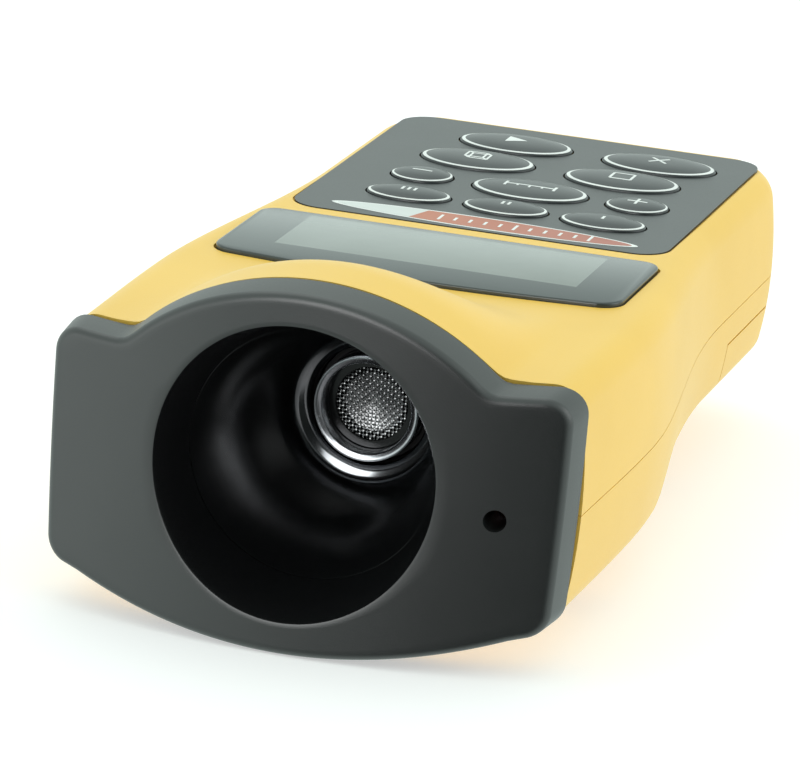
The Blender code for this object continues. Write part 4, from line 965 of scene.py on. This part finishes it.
# -------------------- badge
# A slim lens-shaped label printed on the film beside the display: a white end, an orange-red
# body and a thin white outline, with plain graduation marks in place of words.
BADGE_LEFT = (-24.2 * MM, 91.2 * MM)
BADGE_RIGHT = (25.3 * MM, 90.4 * MM)
BADGE_HALF_L = 3.4 * MM
BADGE_RISE = 0.03 * MM
BADGE_SUNK = 0.02 * MM
BADGE_SIDES = 64
BADGE_SLANT = 2.2 / 6.8
BADGE_FADE = (-10.0 * MM, 25.0 * MM)
MARK_COUNT = 11
MARK_START = -6.4 * MM
MARK_PITCH = 2.4 * MM
MARK_HALF_W = 0.22 * MM
MARK_LONG = 1.5 * MM
MARK_SHORT = 0.9 * MM


def lens_outline(shrink):
    """(x, back) points of the lens: two shallow arcs between its tips."""
    middle_x, middle_back = (BADGE_LEFT[0] + BADGE_RIGHT[0]) / 2, (BADGE_LEFT[1] + BADGE_RIGHT[1]) / 2
    reach = (BADGE_RIGHT[0] - BADGE_LEFT[0]) / 2 - shrink * 2.2
    tall = BADGE_HALF_L - shrink
    slope = (BADGE_RIGHT[1] - BADGE_LEFT[1]) / (BADGE_RIGHT[0] - BADGE_LEFT[0])
    points = []
    for step in range(BADGE_SIDES):
        turn = 2 * math.pi * step / BADGE_SIDES
        share = math.cos(turn)
        away = math.copysign(abs(math.sin(turn)) ** 1.15, math.sin(turn))
        points.append((middle_x + reach * share, middle_back + slope * reach * share + tall * away))
    return points


badge_rim = sheet_body("badge_rim", lens_outline(0.0), FILM_TOP - BADGE_SUNK, FILM_TOP + BADGE_RISE)
badge = sheet_body("badge", lens_outline(0.45 * MM), FILM_TOP - BADGE_SUNK, FILM_TOP + BADGE_RISE * 1.6)
print_white, print_nodes = new_finish("white_print", (0.80, 0.80, 0.78), 0.35)
add_clouds(print_nodes, 200.0, (0.74, 0.74, 0.73), (0.84, 0.84, 0.82))
add_grain(print_nodes, 3000.0, 0.004 * MM, 0.35, 0.05)
marks = []
for number in range(MARK_COUNT):
    x = MARK_START + MARK_PITCH * number
    away = MARK_SHORT if number % 5 else MARK_LONG
    middle = (BADGE_LEFT[1] + BADGE_RIGHT[1]) / 2
    marks.append(sheet_body("mark", [(x - MARK_HALF_W, middle - away), (x + MARK_HALF_W, middle - away),
                                     (x + MARK_HALF_W, middle + away), (x - MARK_HALF_W, middle + away)],
                            FILM_TOP, FILM_TOP + BADGE_RISE * 2.4))
pick(*marks, badge_rim)
bpy.ops.object.join()
badge_rim.data.materials.append(print_white)
badge_finish, badge_nodes = new_finish("badge_print", (0.56, 0.14, 0.08), 0.35)
badge_tree, badge_shader, badge_place = badge_nodes
badge_axes = badge_tree.nodes.new('ShaderNodeSeparateXYZ')
badge_tree.links.new(badge_place, badge_axes.inputs["Vector"])
slant = badge_tree.nodes.new('ShaderNodeMath')
slant.operation = 'MULTIPLY_ADD'
slant.inputs[1].default_value = -BADGE_SLANT
badge_tree.links.new(badge_axes.outputs["Y"], slant.inputs[0])
badge_tree.links.new(badge_axes.outputs["X"], slant.inputs[2])
divide_x = -10.0 * MM - BADGE_SLANT * (FRONT_Y + 91.0 * MM)
red_side = add_ramp(badge_tree, slant.outputs["Value"], divide_x - EDGE_BLUR, divide_x + EDGE_BLUR)
fade = add_ramp(badge_tree, badge_axes.outputs["X"], *BADGE_FADE)
red = mix_colours(badge_tree, fade, (0.49, 0.135, 0.058), (0.40, 0.105, 0.068))
badge_tree.links.new(mix_colours(badge_tree, red_side, (0.62, 0.64, 0.62), red),
                     badge_shader.inputs["Base Color"])
badge.data.materials.append(badge_finish)
for label in (badge_rim, badge):
    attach(label, "root")

# -------------------- keys
# Ten oval keys of grey plastic with a low dome, a flange under the case and a foot over a snap
# dome. Each carries a printed white ring and a plain white sign.
KEY_TOP = 16.1 * MM
KEY_EDGE = 15.35 * MM
KEY_SIDES = 72
KEY_EDGE_R = 0.2 * MM
KEY_FLANGE = 0.7 * MM
KEY_FOOT_R = 2.0 * MM
FLANGE_HIGH, FLANGE_LOW, FOOT_LOW = 12.6 * MM, 11.6 * MM, 9.5 * MM
DOME_SHARES = (0.002, 0.15, 0.3, 0.45, 0.6, 0.7, 0.8, 0.88, 0.94, 0.975)
PRINT_BAND = [(0.905, 0.03), (0.965, 0.03), (0.965, -0.05), (0.905, -0.05)]
key_finish, key_nodes = new_finish("grey_key", (0.028, 0.032, 0.034), 0.30)
add_clouds(key_nodes, 90.0, (0.024, 0.028, 0.030), (0.032, 0.036, 0.038))
add_grain(key_nodes, 5200.0, 0.005 * MM, 0.30, 0.05)


def dome_up(share):
    """Height of a key's dome at a share of the way to its edge."""
    return KEY_TOP - (KEY_TOP - KEY_EDGE) * share ** 3


def oval_place(x, back, edge, stretch, levels):
    """Gives ring_body the places of ovals of some (share of the key's edge, height) levels."""
    def place(row, column):
        share, up = levels[row]
        turn = 2 * math.pi * column / KEY_SIDES
        return at(x + edge * share * math.cos(turn), back + edge * stretch * share * math.sin(turn), up)
    return place


def key_levels(edge):
    """Ovals of a key's body from the middle of the dome down to the foot."""
    flange, foot = 1.0 + KEY_FLANGE / edge, KEY_FOOT_R / edge
    levels = [(share, dome_up(share)) for share in DOME_SHARES]
    levels += [(0.995, KEY_EDGE - 0.12 * MM), (1.0, KEY_EDGE - 0.25 * MM), (1.0, FLANGE_HIGH)]
    levels += [(flange, FLANGE_HIGH), (flange, FLANGE_LOW)]
    return levels + [(foot, FLANGE_LOW), (foot, FOOT_LOW), (DOME_SHARES[0], FOOT_LOW)]


def flat_bar(start, end, width):
    """A short printed stroke as four (across, along) corners."""
    a, b = Vector(start), Vector(end)
    way = (b - a).normalized()
    beside = Vector((-way.y, way.x)) * width / 2
    return [a - beside, b - beside, b + beside, a + beside]


STROKE = 0.42 * MM
THIN_STROKE = STROKE * 0.8
STROKE_CUTS = 5


def square_sign(reach, shift=0.0, width=STROKE):
    """Four strokes round a square whose middle is moved by a shift both ways."""
    low, high = -reach + shift, reach + shift
    corners = [(low, low), (high, low), (high, high), (low, high)]
    return [flat_bar(corners[n], corners[(n + 1) % 4], width) for n in range(4)]


def cube_sign(reach):
    """A box drawn in outline, seen from a corner."""
    half = reach * 0.55 / 2
    strokes = square_sign(reach, -half, THIN_STROKE) + square_sign(reach, half, THIN_STROKE)
    for x, y in ((-reach, -reach), (reach, -reach), (reach, reach), (-reach, reach)):
        strokes.append(flat_bar((x - half, y - half), (x + half, y + half), THIN_STROKE))
    return strokes


def stroke_mm(x_start, y_start, x_end, y_end, width=STROKE):
    """A stroke between two places given in millimetres from the key's middle."""
    return flat_bar((x_start * MM, y_start * MM), (x_end * MM, y_end * MM), width)


key_signs = {
    "key_plus": [stroke_mm(-1.6, 0, 1.6, 0), stroke_mm(0, -1.6, 0, 1.6)],
    "key_minus": [stroke_mm(-1.6, 0, 1.6, 0)],
    "key_area": square_sign(1.7 * MM),
    "key_volume": cube_sign(1.5 * MM),
    "key_units": [stroke_mm(-4, 0, 4, 0), stroke_mm(-4, -1.2, -4, 1.2), stroke_mm(4, -1.2, 4, 1.2),
                  stroke_mm(-2, 0, -2, 0.8, THIN_STROKE), stroke_mm(0, 0, 0, 1.2, THIN_STROKE),
                  stroke_mm(2, 0, 2, 0.8, THIN_STROKE)],
    "key_start": [[Vector((-1.5 * MM, -1.7 * MM)), Vector((1.8 * MM, 0)), Vector((-1.5 * MM, 1.7 * MM))]],
    "key_clear": [stroke_mm(-1.4, -1.4, 1.4, 1.4), stroke_mm(-1.4, 1.4, 1.4, -1.4)],
    "key_memory_1": [stroke_mm(0, -0.8, 0, 0.8)],
    "key_memory_2": [stroke_mm(x, -0.8, x, 0.8) for x in (-0.5, 0.5)],
    "key_memory_3": [stroke_mm(x, -0.8, x, 0.8) for x in (-1, 0, 1)],
}

for node, (x, back, half_w, half_l) in key_sizes.items():
    body_name = node.replace("key_", "button_")
    edge = half_w - KEY_EDGE_R
    stretch = half_l / half_w
    levels = key_levels(edge)
    key = ring_body(node.replace("key_", "cap_"), len(levels), KEY_SIDES,
                    oval_place(x, back, edge, stretch, levels))
    soft_shade(key, 40)
    key.data.materials.append(key_finish)
    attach(key, body_name)
    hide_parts(node)

    band = [(share, dome_up(share) + lift * MM) for share, lift in PRINT_BAND]
    ring = ring_body(node.replace("key_", "print_"), len(band), KEY_SIDES,
                     oval_place(x, back, edge, stretch, band))
    strokes = []
    for corners in key_signs[node]:
        stroke = sheet_body("stroke", [(x + c.x, back - c.y) for c in corners], KEY_TOP - 0.10 * MM,
                            KEY_TOP + 0.03 * MM)
        bpy.ops.object.mode_set(mode='EDIT')
        bpy.ops.mesh.select_all(action='SELECT')
        bpy.ops.mesh.subdivide(number_cuts=STROKE_CUTS)
        bpy.ops.object.mode_set(mode='OBJECT')
        for vertex in stroke.data.vertices:
            share = math.hypot((vertex.co.x - x) / edge, (vertex.co.y - FRONT_Y - back) / (edge * stretch))
            vertex.co.z += dome_up(share) - KEY_TOP
        strokes.append(stroke)
    pick(*strokes, ring)
    bpy.ops.object.join()
    soft_shade(ring, 30)
    ring.data.materials.append(print_white)
    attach(ring, body_name)

# -------------------- parts inside
# The board, battery, leads, screws and optics keep their built shapes. Each gets the finish of
# its real material: soldered green board, sleeved wire, brass, rubber, foam and bare steel.
INNER_FINISHES = {
    "white_plastic": ((0.70, 0.70, 0.68), 0.45, 0.0), "rubber": ((0.015, 0.015, 0.015), 0.75, 0.0),
    "foam": ((0.10, 0.10, 0.10), 0.95, 0.0), "aluminium": ((0.70, 0.71, 0.72), 0.30, 1.0),
    "steel": ((0.58, 0.58, 0.58), 0.28, 1.0), "brass": ((0.70, 0.50, 0.18), 0.28, 1.0),
    "piezo": ((0.50, 0.47, 0.40), 0.60, 0.0), "lens": ((0.35, 0.10, 0.10), 0.05, 0.0),
    "board": ((0.015, 0.12, 0.04), 0.35, 0.0), "epoxy": ((0.015, 0.015, 0.015), 0.45, 0.0),
    "blue_sleeve": ((0.02, 0.05, 0.22), 0.35, 0.0), "battery_skin": ((0.035, 0.035, 0.04), 0.28, 0.0),
    "red_wire": ((0.45, 0.015, 0.015), 0.45, 0.0), "black_wire": ((0.01, 0.01, 0.01), 0.45, 0.0),
    "grey_wire": ((0.25, 0.25, 0.25), 0.45, 0.0), "lcd_glass": ((0.35, 0.38, 0.35), 0.15, 0.0),
}
inner_made = {}
slot_of = {part["node"]: part["material_slot"] for part in frame["record"]["subparts"]}
for node, piece in frame["nodes"].items():
    slot_name = slot_of[node]
    if piece.hide_render or slot_name not in INNER_FINISHES:
        continue
    if slot_name not in inner_made:
        colour, roughness, metallic = INNER_FINISHES[slot_name]
        finish, nodes = new_finish(slot_name + "_finish", colour, roughness, metallic)
        add_clouds(nodes, 250.0, tuple(c * 0.85 for c in colour), tuple(c * 1.1 for c in colour))
        add_grain(nodes, 2200.0, 0.006 * MM, roughness, roughness * 0.2)
        inner_made[slot_name] = finish
    piece.data.materials.clear()
    piece.data.materials.append(inner_made[slot_name])
